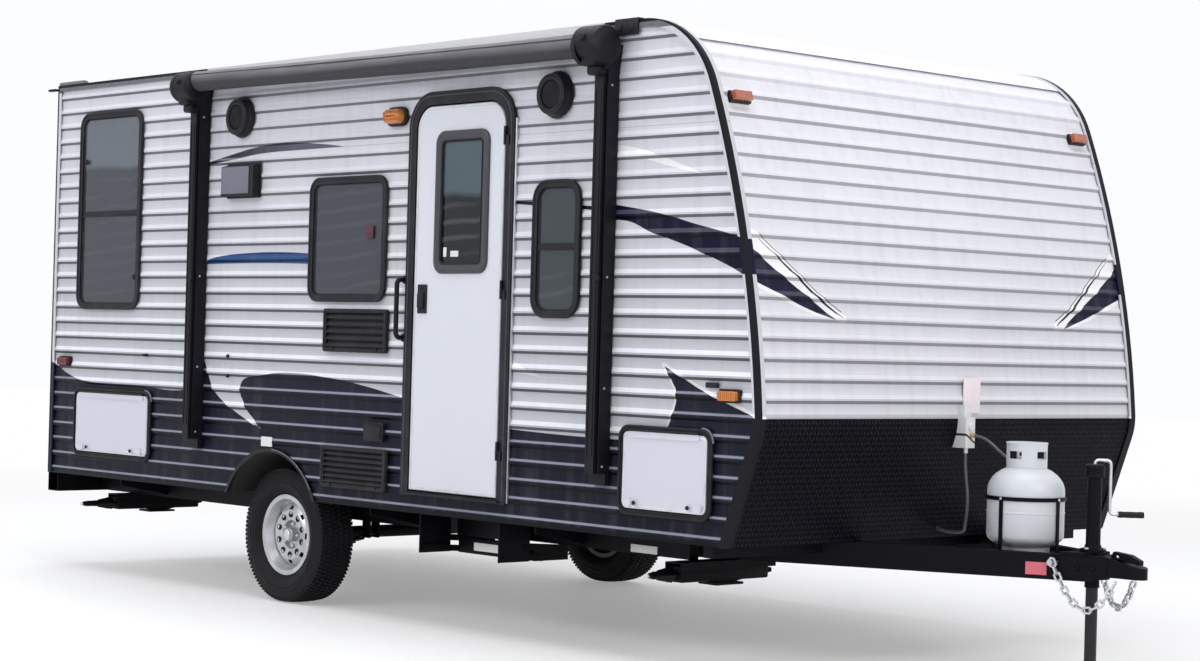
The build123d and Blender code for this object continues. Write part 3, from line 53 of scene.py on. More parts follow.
def at(x, y, z):
    """Millimetres from the rear wall, the centre line and the ground, as a point in the row frame."""
    return Vector(((x - ZERO_X) * MM, y * MM, (z - ZERO_Z) * MM))


def front_outline():
    """The front edge of the corner mouldings, off their mesh: (height, x) points in metres."""
    outline = []
    for z, x in sorted((v.co.z, v.co.x) for v in nodes["edge_trims"].data.vertices if v.co.x > -1.7):
        while len(outline) > 1:
            (z0, x0), (z1, x1) = outline[-2:]
            if (z1 - z0) * (x - x0) < (x1 - x0) * (z - z0):
                break
            outline.pop()
        outline.append((z, x))
    return outline


# ---------------------------------------------------------------- shader values
MATERIALS, tree = {}, None


def add_node(kind, **settings):
    node = tree.nodes.new(kind)
    for key, value in settings.items():
        setattr(node, key, value)
    return node


def put(socket, value):
    if isinstance(value, Value):
        tree.links.new(value.out, socket)
    elif hasattr(value, "__len__") and len(value) == 3 and len(socket.default_value) == 4:
        socket.default_value = (*value, 1.0)
    else:
        socket.default_value = value


def calc(op, *args, clamp=False):
    node = add_node("ShaderNodeMath", operation=op, use_clamp=clamp)
    for socket, value in zip(node.inputs, args):
        put(socket, value)
    return Value(node.outputs[0])


class Value:
    """A shader socket that adds Math nodes when it is used in a sum."""

    def __init__(self, out):
        self.out = out

    __add__ = lambda self, other: calc("ADD", self, other)
    __radd__ = lambda self, other: calc("ADD", other, self)
    __sub__ = lambda self, other: calc("SUBTRACT", self, other)
    __rsub__ = lambda self, other: calc("SUBTRACT", other, self)
    __mul__ = __rmul__ = lambda self, other: calc("MULTIPLY", self, other)
    __truediv__ = lambda self, other: calc("DIVIDE", self, other)
    __abs__ = lambda self: calc("ABSOLUTE", self)
    __or__ = lambda self, other: calc("MAXIMUM", self, other)
    __and__ = lambda self, other: calc("MINIMUM", self, other)


def above(value, edge, soft=0.002):
    """1 where value is over the edge, 0 under it."""
    return calc("MULTIPLY_ADD", value - edge, 1.0 / soft, 0.5, clamp=True)


def under(value, edge, soft=0.002):
    return calc("MULTIPLY_ADD", value - edge, -1.0 / soft, 0.5, clamp=True)


def between(value, low, high, soft=0.002):
    return above(value, low, soft) & under(value, high, soft)


def along(value, points, smooth=True):
    """A curve through (value, result) points, level past its ends."""
    xs, ys = [p[0] for p in points], [p[1] for p in points]
    x0, x1, y0, y1 = min(xs), max(xs), min(ys) - 0.01, max(ys) + 0.01
    node = add_node("ShaderNodeFloatCurve")
    line = node.mapping.curves[0]
    spots = [((x - x0) / (x1 - x0), (y - y0) / (y1 - y0)) for x, y in points]
    line.points[0].location, line.points[1].location = spots[0], spots[-1]
    for x, y in spots[1:-1]:
        line.points.new(x, y)
    for point in line.points:
        point.handle_type = "AUTO" if smooth else "VECTOR"
    node.mapping.update()
    put(node.inputs["Value"], calc("MULTIPLY_ADD", value - x0, 1.0 / (x1 - x0), 0.0, clamp=True))
    return Value(node.outputs[0]) * (y1 - y0) + y0


def noise(scale, detail=2.0, vector=None, rough=0.5):
    node = add_node("ShaderNodeTexNoise")
    put(node.inputs["Vector"], vector or place())
    put(node.inputs["Scale"], scale)
    put(node.inputs["Detail"], detail)
    put(node.inputs["Roughness"], rough)
    return Value(node.outputs[0])


def cells(scale, feature):
    node = add_node("ShaderNodeTexVoronoi", feature=feature)
    put(node.inputs["Vector"], place())
    put(node.inputs["Scale"], scale)
    return Value(node.outputs["Distance"])


def place():
    return Value(add_node("ShaderNodeTexCoord").outputs["Object"])


def split(vector):
    """The three parts of a vector."""
    node = add_node("ShaderNodeSeparateXYZ")
    put(node.inputs[0], vector)
    return [Value(out) for out in node.outputs]


def xyz():
    return split(place())


def facing():
    """The surface's own X, Y and Z directions."""
    return split(Value(add_node("ShaderNodeNewGeometry").outputs["Normal"]))


def vec(x, y, z):
    node = add_node("ShaderNodeCombineXYZ")
    for socket, value in zip(node.inputs, (x, y, z)):
        put(socket, value)
    return Value(node.outputs[0])


def mix(amount, low, high):
    node = add_node("ShaderNodeMix", data_type="RGBA")
    put(node.inputs[0], amount)
    put(node.inputs[6], low)
    put(node.inputs[7], high)
    return Value(node.outputs[2])


def brightness(colour):
    node = add_node("ShaderNodeRGBToBW")
    put(node.inputs[0], colour)
    return Value(node.outputs[0])


def lerp(amount, low, high):
    return low + amount * (high - low)


def begin(name, slot=None):
    """Starts the material that the shader values after it belong to."""
    global tree
    material = MATERIALS[slot or name] = bpy.data.materials.new(name)
    material.use_nodes = True
    tree = material.node_tree


def end(base, rough=0.5, metal=0.0, bump=None, depth=0.0005, **sockets):
    """Closes the material: base and rough are values or numbers, bump is a height of 0 to 1, depth its metres."""
    shader = tree.nodes["Principled BSDF"]
    put(shader.inputs["Base Color"], base)
    put(shader.inputs["Roughness"], rough)
    put(shader.inputs["Metallic"], metal)
    for key, value in sockets.items():
        put(shader.inputs[key.replace("_", " ")], value)
    if bump is not None:
        node = add_node("ShaderNodeBump")
        put(node.inputs["Height"], bump)
        put(node.inputs["Distance"], depth)
        tree.links.new(node.outputs[0], shader.inputs["Normal"])


# ---------------------------------------------------------------- materials
NAVY, WHITE = (0.0050, 0.0055, 0.026), (0.86, 0.86, 0.89)
COURSE, DARK_TOP = 0.080, 0.467  # height of a siding course; top of the dark courses at the rear


def dusty(base, amount):
    """Road dust that settles on what faces up and towards the ground."""
    up, low = facing()[2], xyz()[2]
    settled = above(up, 0.75, 0.5) * noise(9, 4) * amount
    splash = under(low, -0.22, 0.30) * noise(14, 5) * amount * 0.6
    return mix(settled | splash, base, (0.30, 0.29, 0.27))


def band(z, across, low, high):
    """The stripe between two curves."""
    return between(z, along(across, low), along(across, high))


def siding_colours(x, z, light):
    """The side's stripes and its dark lower part, on the light ground."""
    rear = under(z, along(x, [(-6.20, 0.672), (-6.149, 0.66), (-6.027, 0.609), (-5.901, 0.578), (-5.767, 0.565),
        (-5.3, 0.558), (-4.861, 0.553), (-4.76, 0.62), (-4.70, 0.70), (-4.677, 0.672), (-4.591, 0.55), (-4.434, 0.47),
        (-4.217, 0.394), (-4.15, 0.374)]))
    rear = rear & under(x, -4.15)
    leaf = under(z, along(x, [(-4.378, 0.585), (-4.36, 0.612), (-4.313, 0.631), (-4.165, 0.648), (-3.984, 0.662),
        (-3.663, 0.65), (-3.373, 0.619), (-3.188, 0.591), (-3.041, 0.568), (-2.6, 0.50), (-2.3, 0.467),
        (-0.8, 0.467)]))
    leaf = leaf & above(z, along(x, [(-4.375, 0.60), (-4.371, 0.543), (-4.304, 0.463), (-4.195, 0.395), (-4.16, 0.0)],
        False))
    leaf = leaf & above(x, -4.376)
    arc = along(z, [(0.40, -1.44), (0.474, -1.41), (0.536, -1.373), (0.594, -1.347), (0.645, -1.337), (0.699, -1.362),
        (0.762, -1.413)])
    diagonal = along(x, [(-1.413, 0.762), (-1.30, 0.716), (-1.199, 0.673), (-0.925, 0.584), (-0.80, 0.545)])
    bow = above(x, arc) & under(z, diagonal)
    halo = above(x, arc - 0.012) & under(z, diagonal + 0.014) & above(z, 0.47) & under(x, -0.5)
    navy = band(z, x, [(-1.78, 1.335), (-1.699, 1.348), (-1.506, 1.296), (-1.257, 1.225), (-0.982, 1.126)],
        [(-1.78, 1.418), (-1.701, 1.408), (-1.438, 1.367), (-1.261, 1.326), (-1.014, 1.273), (-0.9, 1.24)])
    navy = navy & above(x, -1.76)
    swoosh = band(z, x, [(-1.76, 1.602), (-1.566, 1.592), (-1.415, 1.559), (-1.269, 1.53), (-1.17, 1.508)],
        [(-1.76, 1.660), (-1.567, 1.63), (-1.416, 1.586), (-1.308, 1.551), (-1.17, 1.508)])
    swoosh = swoosh & above(x, -1.76)
    tail = band(z, x, [(-2.36, 0.716), (-2.318, 0.712), (-2.156, 0.696)], [(-2.36, 0.775), (-2.32, 0.755),
        (-2.156, 0.697)]) & above(x, -2.36)
    smoke = band(z, x, [(-4.70, 1.676), (-4.473, 1.696), (-4.223, 1.718), (-3.861, 1.722), (-3.583, 1.723)],
        [(-4.70, 1.688), (-4.474, 1.725), (-4.225, 1.754), (-4.042, 1.76), (-3.804, 1.747), (-3.583, 1.724)])
    smoke = smoke & above(x, -4.7)
    blue = band(z, x, [(-4.70, 1.183), (-4.198, 1.186), (-3.82, 1.18)], [(-4.70, 1.188), (-4.552, 1.224),
        (-4.324, 1.236), (-4.077, 1.238), (-3.82, 1.229)])
    blue = blue & between(x, -4.7, -3.6)
    line = band(z, x, [(-2.36, 1.429), (-1.855, 1.392)], [(-2.36, 1.443), (-1.855, 1.408)])
    line = line & between(x, -2.36, -1.74)
    colour = mix((halo | tail | swoosh), light, WHITE)
    colour = mix(rear | leaf | bow, colour, mix(above(z, 0.3, 0.5), (0.0135, 0.0155, 0.030), (0.026, 0.029, 0.050)))
    colour = mix(navy | line, colour, NAVY)
    colour = mix(smoke, colour, mix(above(x, -4.3, 0.6), (0.012, 0.012, 0.022), (0.105, 0.105, 0.145)))
    return mix(blue, colour, mix(above(z, 1.215, 0.04), (0.040, 0.115, 0.290), (0.012, 0.035, 0.130)))


def painted_sheet(name, kind):
    """Embossed, painted aluminium siding."""
    begin(name)
    x, y, z = xyz()
    tone = noise(1.3, 3) * 0.06 + 0.97
    grain = noise(90, 3, vec(x * 0.12, y * 0.12, z))
    streak = above(noise(7, 5, vec(x * 3, y * 3, z * 0.25)), 0.60, 0.25) * 0.10
    if kind == "front":
        light = mix(noise(0.9, 2), (0.70, 0.70, 0.765), (0.75, 0.75, 0.81))
        side = abs(y)
        navy = band(z, side, [(0.745, 0.962), (0.919, 1.009), (1.067, 1.062), (1.24, 1.12)],
            [(0.745, 0.963), (0.874, 1.041), (1.026, 1.13), (1.132, 1.199), (1.24, 1.278)])
        navy = navy & above(side, 0.745)
        halo = band(z, side, [(0.70, 0.952), (0.919, 0.995), (1.067, 1.046), (1.24, 1.10)],
            [(0.67, 0.972), (0.832, 1.070), (0.938, 1.146), (1.043, 1.222), (1.24, 1.36)])
        halo = halo & above(side, 0.68)
        middle = along(side, [(0.696, 0.972), (0.832, 1.049), (0.938, 1.127), (1.043, 1.203), (1.132, 1.269)])
        thick = along(side, [(0.69, 0.001), (0.80, 0.006), (0.95, 0.006), (1.10, 0.002), (1.14, 0.001)])
        fine = (under(abs(z - middle), thick) | under(abs(z - middle - 0.020), 0.0022)) & between(side, 0.70, 1.13)
        colour = mix(navy | fine, mix(halo, light, (0.88, 0.88, 0.90)), mix(noise(40, 2), NAVY, (0.010, 0.011, 0.038)))
    else:
        light = mix(noise(0.9, 2), (0.62, 0.63, 0.69), (0.68, 0.69, 0.74))
        colour = siding_colours(x, z, light) if kind == "side" else mix(under(z, DARK_TOP), light,
            (0.020, 0.022, 0.038))
    # painted light and shade on each course: a painted highlight on the slope over its nose, painted shade in the
    # undercut below it, and a flat painted darker at its top that pales downwards; lower courses get more of this
    # painted shading
    up = facing()[2]
    lit, undercut_shade = above(up, 0.24, 0.12), under(up, -0.08, 0.12)
    top_nose = 2.071 if kind == "front" else 2.151
    down = calc("FRACT", (top_nose - z) / COURSE)
    tone_of = brightness(colour)
    slate, stripe = between(tone_of, 0.0125, 0.055, 0.003), under(tone_of, 0.0125, 0.003)
    colour = mix(slate & under(z, 0.8), colour, mix(above(z, 0.3, 0.5), (0.0055, 0.0070, 0.0185),
        (0.0125, 0.0145, 0.0310)))
    # painted highlight on the lit slopes of the slate courses and of the stripes
    colour = mix(lit * (slate * between(down, 0.58, 0.70, 0.03) + stripe * 0.22), colour, (0.205, 0.215, 0.262))
    # painted light factors: flat for the flats, bright for the slope highlight, deep for the undercut shade
    if kind == "front":
        high = above(z, 0.95, 0.9)
        flat = lerp(high, 0.70, 0.93) + under(down, 0.52, 0.01) * down * lerp(high, 0.45, 0.10)
        bright, deep = 1.0, lerp(high, 0.24, 0.50)
    else:
        high = above(z, 1.25, 0.9)
        flat = lerp(high, 0.66, 0.88) + under(down, 0.52, 0.01) * down * lerp(high, 0.26, 0.10)
        bright, deep = lerp(high, 1.20, 1.06), lerp(high, 0.13, 0.22)
    dark = mix(streak, colour, (0.25, 0.24, 0.24))
    shade = add_node("ShaderNodeHueSaturation")
    put(shade.inputs["Color"], dark)
    # on the front, no painted undercut shade at the top nose
    if kind == "front":
        undercut_shade = undercut_shade & under(z, 2.085)
    put(shade.inputs["Value"], tone * (flat + lit * (bright - flat) + undercut_shade * (deep - flat)))
    end(Value(shade.outputs[0]), lerp(grain, 0.32, 0.46), 0.0, grain, 0.0004, Specular_IOR_Level=0.09)


def moulding():
    """Corner moulding: a black insert along the corner, between flanges painted as the siding is."""
    begin("moulding", "trim_dark")
    x, y, z = xyz()
    side, top = above(abs(y), 1.2035), above(z, 2.1425)
    rear = under(x, -6.1575)
    front = above(x, along(z, [(h, reach - 0.0215) for h, reach in front_outline()], False))
    awning_part = between(x, -4.72, -1.80) & under(y, 0.0)
    far_front = above(y, 1.193) & above(x, along(z, [(h, reach - 0.05) for h, reach in front_outline()], False))
    insert = side & (front | rear | top & (1.0 - awning_part) | under(z, 0.572) & above(x, -1.3)) | far_front
    flange = siding_colours(x, z, mix(noise(2.0, 2), (0.52, 0.53, 0.58), (0.58, 0.59, 0.64)))
    # the rails along the roof and the rear corners are bare
    bare = mix(noise(30, 4), (0.11, 0.11, 0.125), (0.17, 0.17, 0.19))
    flange = mix(side & above(z, 2.115), flange, mix(awning_part, bare, (0.72, 0.72, 0.73)))
    flange = mix(under(z, 0.572) & above(x, -1.3), flange, (0.006, 0.006, 0.010))
    grain = noise(120, 3)
    end(mix(insert, flange, mix(grain, (0.0035, 0.0035, 0.0052), (0.012, 0.012, 0.016))), lerp(grain, 0.34, 0.48),
        0.0, grain, 0.0003, Specular_IOR_Level=0.10)


def tread_plate():
    """Black checker plate: raised lozenges that lie across each other."""
    begin("tread_plate", "tread_black")
    _, y, z = xyz()
    pitch = 0.021
    u, v = y / pitch, z / pitch
    fu, fv = calc("FRACT", u) - 0.5, calc("FRACT", v) - 0.5
    odd = calc("MODULO", abs(calc("FLOOR", u) + calc("FLOOR", v)), 2.0)
    p, q = fu + fv, fu - fv
    long, short = lerp(odd, p, q), lerp(odd, q, p)
    height = calc("SUBTRACT", 1.0, abs(long) * 1.15 + abs(short) * 3.6, clamp=True)
    lug = calc("SMOOTH_MIN", height * 2.2, 1.0, 0.3)
    # lug tops lighter in patches: partly wear, partly painted glints
    worn = lug * noise(60, 3)
    base = mix(worn, (0.0022, 0.0020, 0.0042), (0.034, 0.031, 0.046))
    # greenish-grey patches, brighter on the lugs: painted reflection
    painted_reflection = noise(2.2, 4)
    end(mix(above(painted_reflection, 0.58, 0.2) * 0.5, base, mix(lug, (0.004, 0.005, 0.005), (0.044, 0.046, 0.046))),
        lerp(noise(25, 3), 0.34, 0.55), 0.0, lug, 0.0030, Specular_IOR_Level=0.05)


def paint(name, base, rough=(0.3, 0.5), grain=200, depth=0.0002, dust=0.0, scuff=0.25, **sockets):
    """Paint or hard plastic with fine grain, faint scuffs and, low down, dust."""
    begin(name)
    fine = noise(grain, 2)
    scuffed = above(noise(18, 6, rough=0.7), 0.62, 0.10) * scuff
    lighter = tuple(min(1.0, c * 1.35 + 0.02) for c in base)
    colour = mix(scuffed, mix(noise(2.5, 3), base, tuple(min(1.0, c * 1.07) for c in base)), lighter)
    if dust:
        colour = dusty(colour, dust)
    end(colour, lerp(noise(30, 4), *rough), 0.0, fine, depth, **sockets)


def moulded(name, base, rough=(0.42, 0.60)):
    """Grained black plastic."""
    begin(name)
    leather = cells(420, "SMOOTH_F1")
    chalk = above(noise(11, 5), 0.60, 0.2) * 0.12
    end(mix(chalk, base, (0.10, 0.10, 0.11)), lerp(noise(22, 3), *rough), 0.0, leather, 0.0003, Specular_IOR_Level=0.25)


def metal_sheet(name, base, rough=(0.25, 0.45), stretch=(1, 1, 30), dull=0.3):
    """Bare or plated metal with drawn lines and dull patches."""
    begin(name)
    x, y, z = xyz()
    lines = noise(60, 3, vec(x * stretch[0], y * stretch[1], z * stretch[2]))
    patch = above(noise(16, 5), 0.55, 0.2) * dull
    end(mix(patch, base, tuple(c * 0.55 for c in base)), lerp(lines, *rough), 0.9, lines, 0.0001)


def glass():
    """Tinted safety glass with a painted reflection of what each pane would mirror, sky over dark ground or ground
    alone, which wavers with the pane.
    """
    begin("tinted_glass")
    x, y, z = xyz()
    wave = noise(2.2, 2, vec(x * 1.4, y * 1.4, z * 0.6))
    ridge = z + wave * 0.05
    horizon = along(x, [(-6.0, 1.72), (-4.9, 1.72), (-4.3, 1.95), (-3.2, 1.95), (-2.95, 1.50), (-2.4, 1.50),
        (-2.2, 1.95), (-1.0, 1.95)], False)
    sky_reflection = above(ridge - horizon, 0.0, 0.03)
    haze = noise(3.0, 3, vec(x, y, z * 2.2))
    door = between(x, -3.1, -2.3)
    front = above(x, -2.3)
    # painted reflection of the ground's lines, nearly level, closer together low down
    lines = calc("FRACT", (ridge + wave * 0.03) * 14.0 - x * 1.1)
    ground_line_reflection = under(abs(lines - 0.5), 0.14, 0.16) * above(noise(5.0, 2, vec(x * 0.3, y * 0.3, z * 3)), 0.45, 0.2)
    # painted reflection of the ground, set apart for the door and the front
    low = mix(ground_line_reflection, (0.042, 0.045, 0.060), (0.054, 0.058, 0.074))
    low = mix(door, low, mix(ground_line_reflection, (0.004, 0.005, 0.008), (0.040, 0.044, 0.052)))
    low = mix(front, low, mix(ground_line_reflection * under(z, 1.12, 0.1), mix(haze, (0.030, 0.040, 0.046), (0.042, 0.054, 0.060)),
        (0.070, 0.080, 0.085)))
    # painted reflection of the sky
    high = mix(haze, (0.100, 0.116, 0.142), (0.122, 0.140, 0.168))
    high = mix(door, high, mix(haze, (0.052, 0.078, 0.096), (0.074, 0.104, 0.122)))
    end(mix(sky_reflection, low, high), lerp(haze, 0.04, 0.09), 0.0, wave, 0.004, Specular_IOR_Level=0.3, IOR=1.5)


def regulator_cover():
    """White cover, with a black bracket at its upper corner and a black band across it."""
    begin("regulator_cover", "regulator_grey")
    x, y, z = xyz()
    grime = noise(60, 5)
    bracket = under(y, -0.026, 0.003) & above(z, 0.520, 0.004)
    band = under(abs(z - 0.494 + y * 0.62), 0.005) & above(x, -0.895)
    white = mix(grime, (0.74, 0.74, 0.75), (0.60, 0.60, 0.62))
    end(mix(bracket | band, white, (0.012, 0.012, 0.014)), lerp(grime, 0.35, 0.5), 0.0, grime, 0.0004)


def lens(name, base, deep):
    """Coloured lamp lens with moulded flutes."""
    begin(name)
    x, y, z = xyz()
    flute = calc("SINE", (x + y) * 900.0) * 0.5 + 0.5
    base = mix(above(z, 1.70) & above(x, -2.0), base, (0.56, 0.14, 0.07))
    end(mix(flute * noise(30, 2), base, deep), 0.12, 0.0, flute, 0.0010, Transmission_Weight=0.25, Coat_Weight=0.6)


def cloth():
    """Charcoal acrylic awning cloth, rolled tight."""
    begin("awning_cloth", "awning_fabric")
    x, y, z = xyz()
    weave = calc("SINE", x * 3400.0) * calc("SINE", (y + z) * 3400.0)
    crease_and_shade = noise(5, 4, vec(x * 0.25, y * 6, z * 6))
    # darker in the creases' hollows: painted shade
    base = mix(crease_and_shade, (0.014, 0.012, 0.018), (0.034, 0.030, 0.040))
    # painted light on the top of the roll, in patches
    end(mix(above(facing()[2], 0.08, 0.8) * (noise(8, 4) * 0.5 + 0.5), base, (0.36, 0.34, 0.38)),
        lerp(crease_and_shade, 0.6, 0.85), 0.0, weave * 0.15 + crease_and_shade, 0.006, Sheen_Weight=0.1)


def steel_rim():
    """Silver paint with brake dust; the inboard half of the barrel is black."""
    begin("rim_silver")
    y = xyz()[1]
    grime = noise(12, 4, rough=0.6)
    flake = noise(300, 2)
    silver = mix(above(grime, 0.58, 0.4) * 0.5, mix(flake, (0.46, 0.465, 0.49), (0.58, 0.585, 0.61)),
        (0.26, 0.255, 0.25))
    inboard = under(abs(y), 1.035)
    end(mix(inboard, silver, (0.008, 0.008, 0.010)), lerp(grime, 0.24, 0.42), 0.75 * (1.0 - inboard), flake, 0.0002)


def rubber():
    """Tyre rubber, browner and dustier in the tread."""
    begin("tyre_rubber", "tyre")
    worn = noise(14, 5)
    base = mix(worn, (0.0035, 0.0035, 0.0050), (0.011, 0.011, 0.014))
    end(dusty(base, 0.03), lerp(noise(40, 3), 0.55, 0.80), 0.0, noise(260, 3), 0.0004, Specular_IOR_Level=0.18)


def board():
    """Plywood of the framed walls."""
    begin("wall_board")
    x, y, z = xyz()
    grain = noise(26, 5, vec(x * 0.15, y * 0.15, z * 2.2), rough=0.65)
    end(mix(grain, (0.36, 0.27, 0.17), (0.62, 0.50, 0.35)), lerp(grain, 0.55, 0.75), 0.0, grain, 0.0004)


def membrane(name, low, high):
    """Rubber roof or underbelly sheet, creased and stained."""
    begin(name)
    stain = noise(1.8, 6, rough=0.65)
    end(mix(above(stain, 0.5, 0.5), low, high), lerp(stain, 0.5, 0.75), 0.0, noise(4, 5), 0.006)


painted_sheet("siding_side", "side")
painted_sheet("siding_rear", "rear")
painted_sheet("siding_front", "front")
tread_plate()
paint("door_white", (0.60, 0.615, 0.675), (0.30, 0.36), 60, 0.00005, scuff=0.03)
paint("baggage_panel", (0.57, 0.575, 0.655), (0.34, 0.4), 60, 0.00005, scuff=0.03)
moulded("frame_black", (0.007, 0.007, 0.010))
moulded("vent_black", (0.006, 0.006, 0.009))
paint("frame_grey", (0.028, 0.030, 0.038), (0.35, 0.5), scuff=0.1)
paint("hood_grey", (0.13, 0.13, 0.17), (0.4, 0.5))
glass()
metal_sheet("trim_light", (0.62, 0.63, 0.66), (0.3, 0.5), (1, 1, 1))
moulding()
paint("arch_trim", (0.0040, 0.0040, 0.0060), (0.26, 0.38), scuff=0.05, Specular_IOR_Level=0.25)
paint("rail_grey", (0.13, 0.13, 0.15), (0.40, 0.55), scuff=0.2)
lens("amber_lens", (0.80, 0.27, 0.02), (0.45, 0.10, 0.005))
lens("red_lens", (0.24, 0.008, 0.016), (0.09, 0.002, 0.006))
paint("awning_black", (0.0045, 0.0042, 0.0070), (0.38, 0.55), 300, 0.0003, scuff=0.06, Specular_IOR_Level=0.2)
cloth()
paint("chassis_black", (0.0028, 0.0028, 0.0045), (0.40, 0.55), 160, 0.0003, dust=0.01, scuff=0.04,
    Specular_IOR_Level=0.10)
membrane("underbody", (0.012, 0.012, 0.013), (0.035, 0.034, 0.034))
paint("tank_white", (0.58, 0.60, 0.64), (0.30, 0.42), 90, 0.0002, scuff=0.10)
regulator_cover()
paint("hose_grey", (0.085, 0.086, 0.095), (0.45, 0.6), 400, 0.0004)
metal_sheet("zinc", (0.60, 0.61, 0.63), (0.28, 0.45), (1, 1, 1), 0.4)
paint("jack_steel", (0.0055, 0.0055, 0.0070), (0.30, 0.45), 160, 0.0002, scuff=0.12, Specular_IOR_Level=0.35)
steel_rim()
membrane("roof_white", (0.40, 0.40, 0.405), (0.50, 0.50, 0.50))
paint("vent_white", (0.76, 0.76, 0.74), (0.45, 0.6))
rubber()
board()
membrane("well_black", (0.004, 0.004, 0.0045), (0.010, 0.010, 0.0105))
paint("label", (0.66, 0.655, 0.65), (0.5, 0.6), scuff=0.15)
paint("label_rose", (0.78, 0.69, 0.71), (0.5, 0.6), scuff=0.2)
paint("label_wine", (0.055, 0.008, 0.012), (0.5, 0.6), scuff=0.1)
paint("label_pink", (0.60, 0.13, 0.17), (0.5, 0.6), scuff=0.15)
moulded("seal_black", (0.010, 0.010, 0.011), (0.6, 0.8))
paint("blind", (0.30, 0.31, 0.34), (0.7, 0.8), scuff=0.05)
metal_sheet("brass", (0.62, 0.42, 0.16), (0.25, 0.4), (1, 1, 1))
slots = {part["node"]: part["material_slot"] for part in frame["record"]["subparts"]}
OWN_FINISH = {"siding_rear": "siding_rear", "grab_handle": "awning_black", "arch_lips": "arch_trim"}
for name, obj in nodes.items():
    finish = OWN_FINISH.get(name, slots[name])
    for spot in obj.material_slots:
        spot.material = MATERIALS[finish]
    if not obj.material_slots:
        obj.data.materials.append(MATERIALS[finish])


# ---------------------------------------------------------------- mesh helpers
def linked(name, data):
    """A new object in the scene."""
    obj = bpy.data.objects.new(name, data)
    bpy.context.scene.collection.objects.link(obj)
    return obj


def baked(name, temp):
    """The evaluated mesh of a temporary object, as an object that takes its place."""
    bpy.context.view_layer.update()
    mesh = bpy.data.meshes.new_from_object(temp.evaluated_get(bpy.context.evaluated_depsgraph_get()))
    bpy.data.objects.remove(temp)
    return linked(name, mesh)


def finish_piece(obj, mat, body="trailer", smooth=None):
    """Gives a new piece its material and body; smooth is the angle under which edges are rounded off."""
    obj.data.materials.clear()
    obj.data.materials.append(MATERIALS[mat])
    if smooth is not None:
        obj.data.shade_smooth()
        if smooth < 180:
            obj.data.set_sharp_from_angle(angle=radians(smooth))
    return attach(obj, body)


def mesh_piece(name, bm, mat, body="trailer", smooth=30):
    mesh = bpy.data.meshes.new(name)
    bmesh.ops.recalc_face_normals(bm, faces=bm.faces)
    bm.to_mesh(mesh)
    bm.free()
    obj = linked(name, mesh)
    return finish_piece(obj, mat, body, smooth) if mat else obj


def circle(r, count, start=0.0):
    """Points round a circle; start is a share of one step."""
    return [(r * cos(a), r * sin(a)) for a in (2 * pi * (k + start) / count for k in range(count))]


def skin(bm, rows, around=True):
    """Faces between neighbouring rows of vertices; around joins each row's end to its start."""
    for a, b in zip(rows, rows[1:]):
        for i in range(len(a) if around else len(a) - 1):
            j = (i + 1) % len(a)
            bm.faces.new((a[i], a[j], b[j], b[i]))


def add_box(bm, lo, hi, bevel=0.002, segments=2):
    """A rounded box between two points."""
    made = bmesh.ops.create_cube(bm, size=1.0)["verts"]
    size, mid = hi - lo, (hi + lo) / 2
    for v in made:
        v.co = Vector([v.co[i] * abs(size[i]) + mid[i] for i in range(3)])
    if bevel:
        edges = list({e for v in made for e in v.link_edges})
        bmesh.ops.bevel(bm, geom=edges, offset=min(bevel, min(abs(s) for s in size) * 0.45), segments=segments,
            profile=0.5, affect="EDGES")


def add_lathe(bm, profile, frame_matrix, steps=40):
    """(radius, height) points turned about the frame's Z."""
    rings = []
    for k in range(steps):
        a = 2 * pi * k / steps
        rings.append([bm.verts.new(frame_matrix @ Vector((r * cos(a), r * sin(a), h))) for r, h in profile])
    count = len(profile)
    for a, b in zip(rings, rings[1:] + rings[:1]):
        for i in range(count):
            j = (i + 1) % count
            # corners meet on the axis: three are a triangle, two are no face
            corners = {tuple(v.co): v for v in (a[i], a[j], b[j], b[i])}
            if len(corners) > 2:
                bm.faces.new(tuple(corners.values()))
    bmesh.ops.remove_doubles(bm, verts=bm.verts, dist=1e-6)


def axes(centre, axis):
    """A matrix whose Z lies along an axis."""
    z = Vector(axis).normalized()
    x = Vector(UP).cross(z)
    if x.length < 1e-4:
        x = Vector(AHEAD).cross(z)
    x.normalize()
    m = Matrix((x, z.cross(x), z)).transposed().to_4x4()
    m.translation = centre
    return m


def lathe(name, profile, centre, axis, mat, body="trailer", steps=40):
    """(radius, height) points in millimetres, turned about an axis, as one piece."""
    bm = bmesh.new()
    add_lathe(bm, [(r * MM, h * MM) for r, h in profile], axes(centre, axis), steps)
    return mesh_piece(name, bm, mat, body, 35)


def line(name, points, r, rounding, smooth):
    """A curve object, r millimetres in radius, along points in the row frame."""
    curve = bpy.data.curves.new(name, "CURVE")
    curve.dimensions, curve.bevel_depth, curve.bevel_resolution = "3D", r * MM, rounding
    spline = curve.splines.new("NURBS")
    spline.points.add(len(points) - 1)
    for spot, p in zip(spline.points, points):
        spot.co = (*p, 1.0)
    spline.order_u, spline.use_endpoint_u, spline.resolution_u = 3, True, smooth
    return linked(name, curve)


def tube(name, points, r, mat):
    """A round bar along points in the row frame, as a mesh."""
    bar = line(name + "_line", points, r, 4, 8)
    bar.data.use_fill_caps = True
    return finish_piece(baked(name, bar), mat, smooth=60)


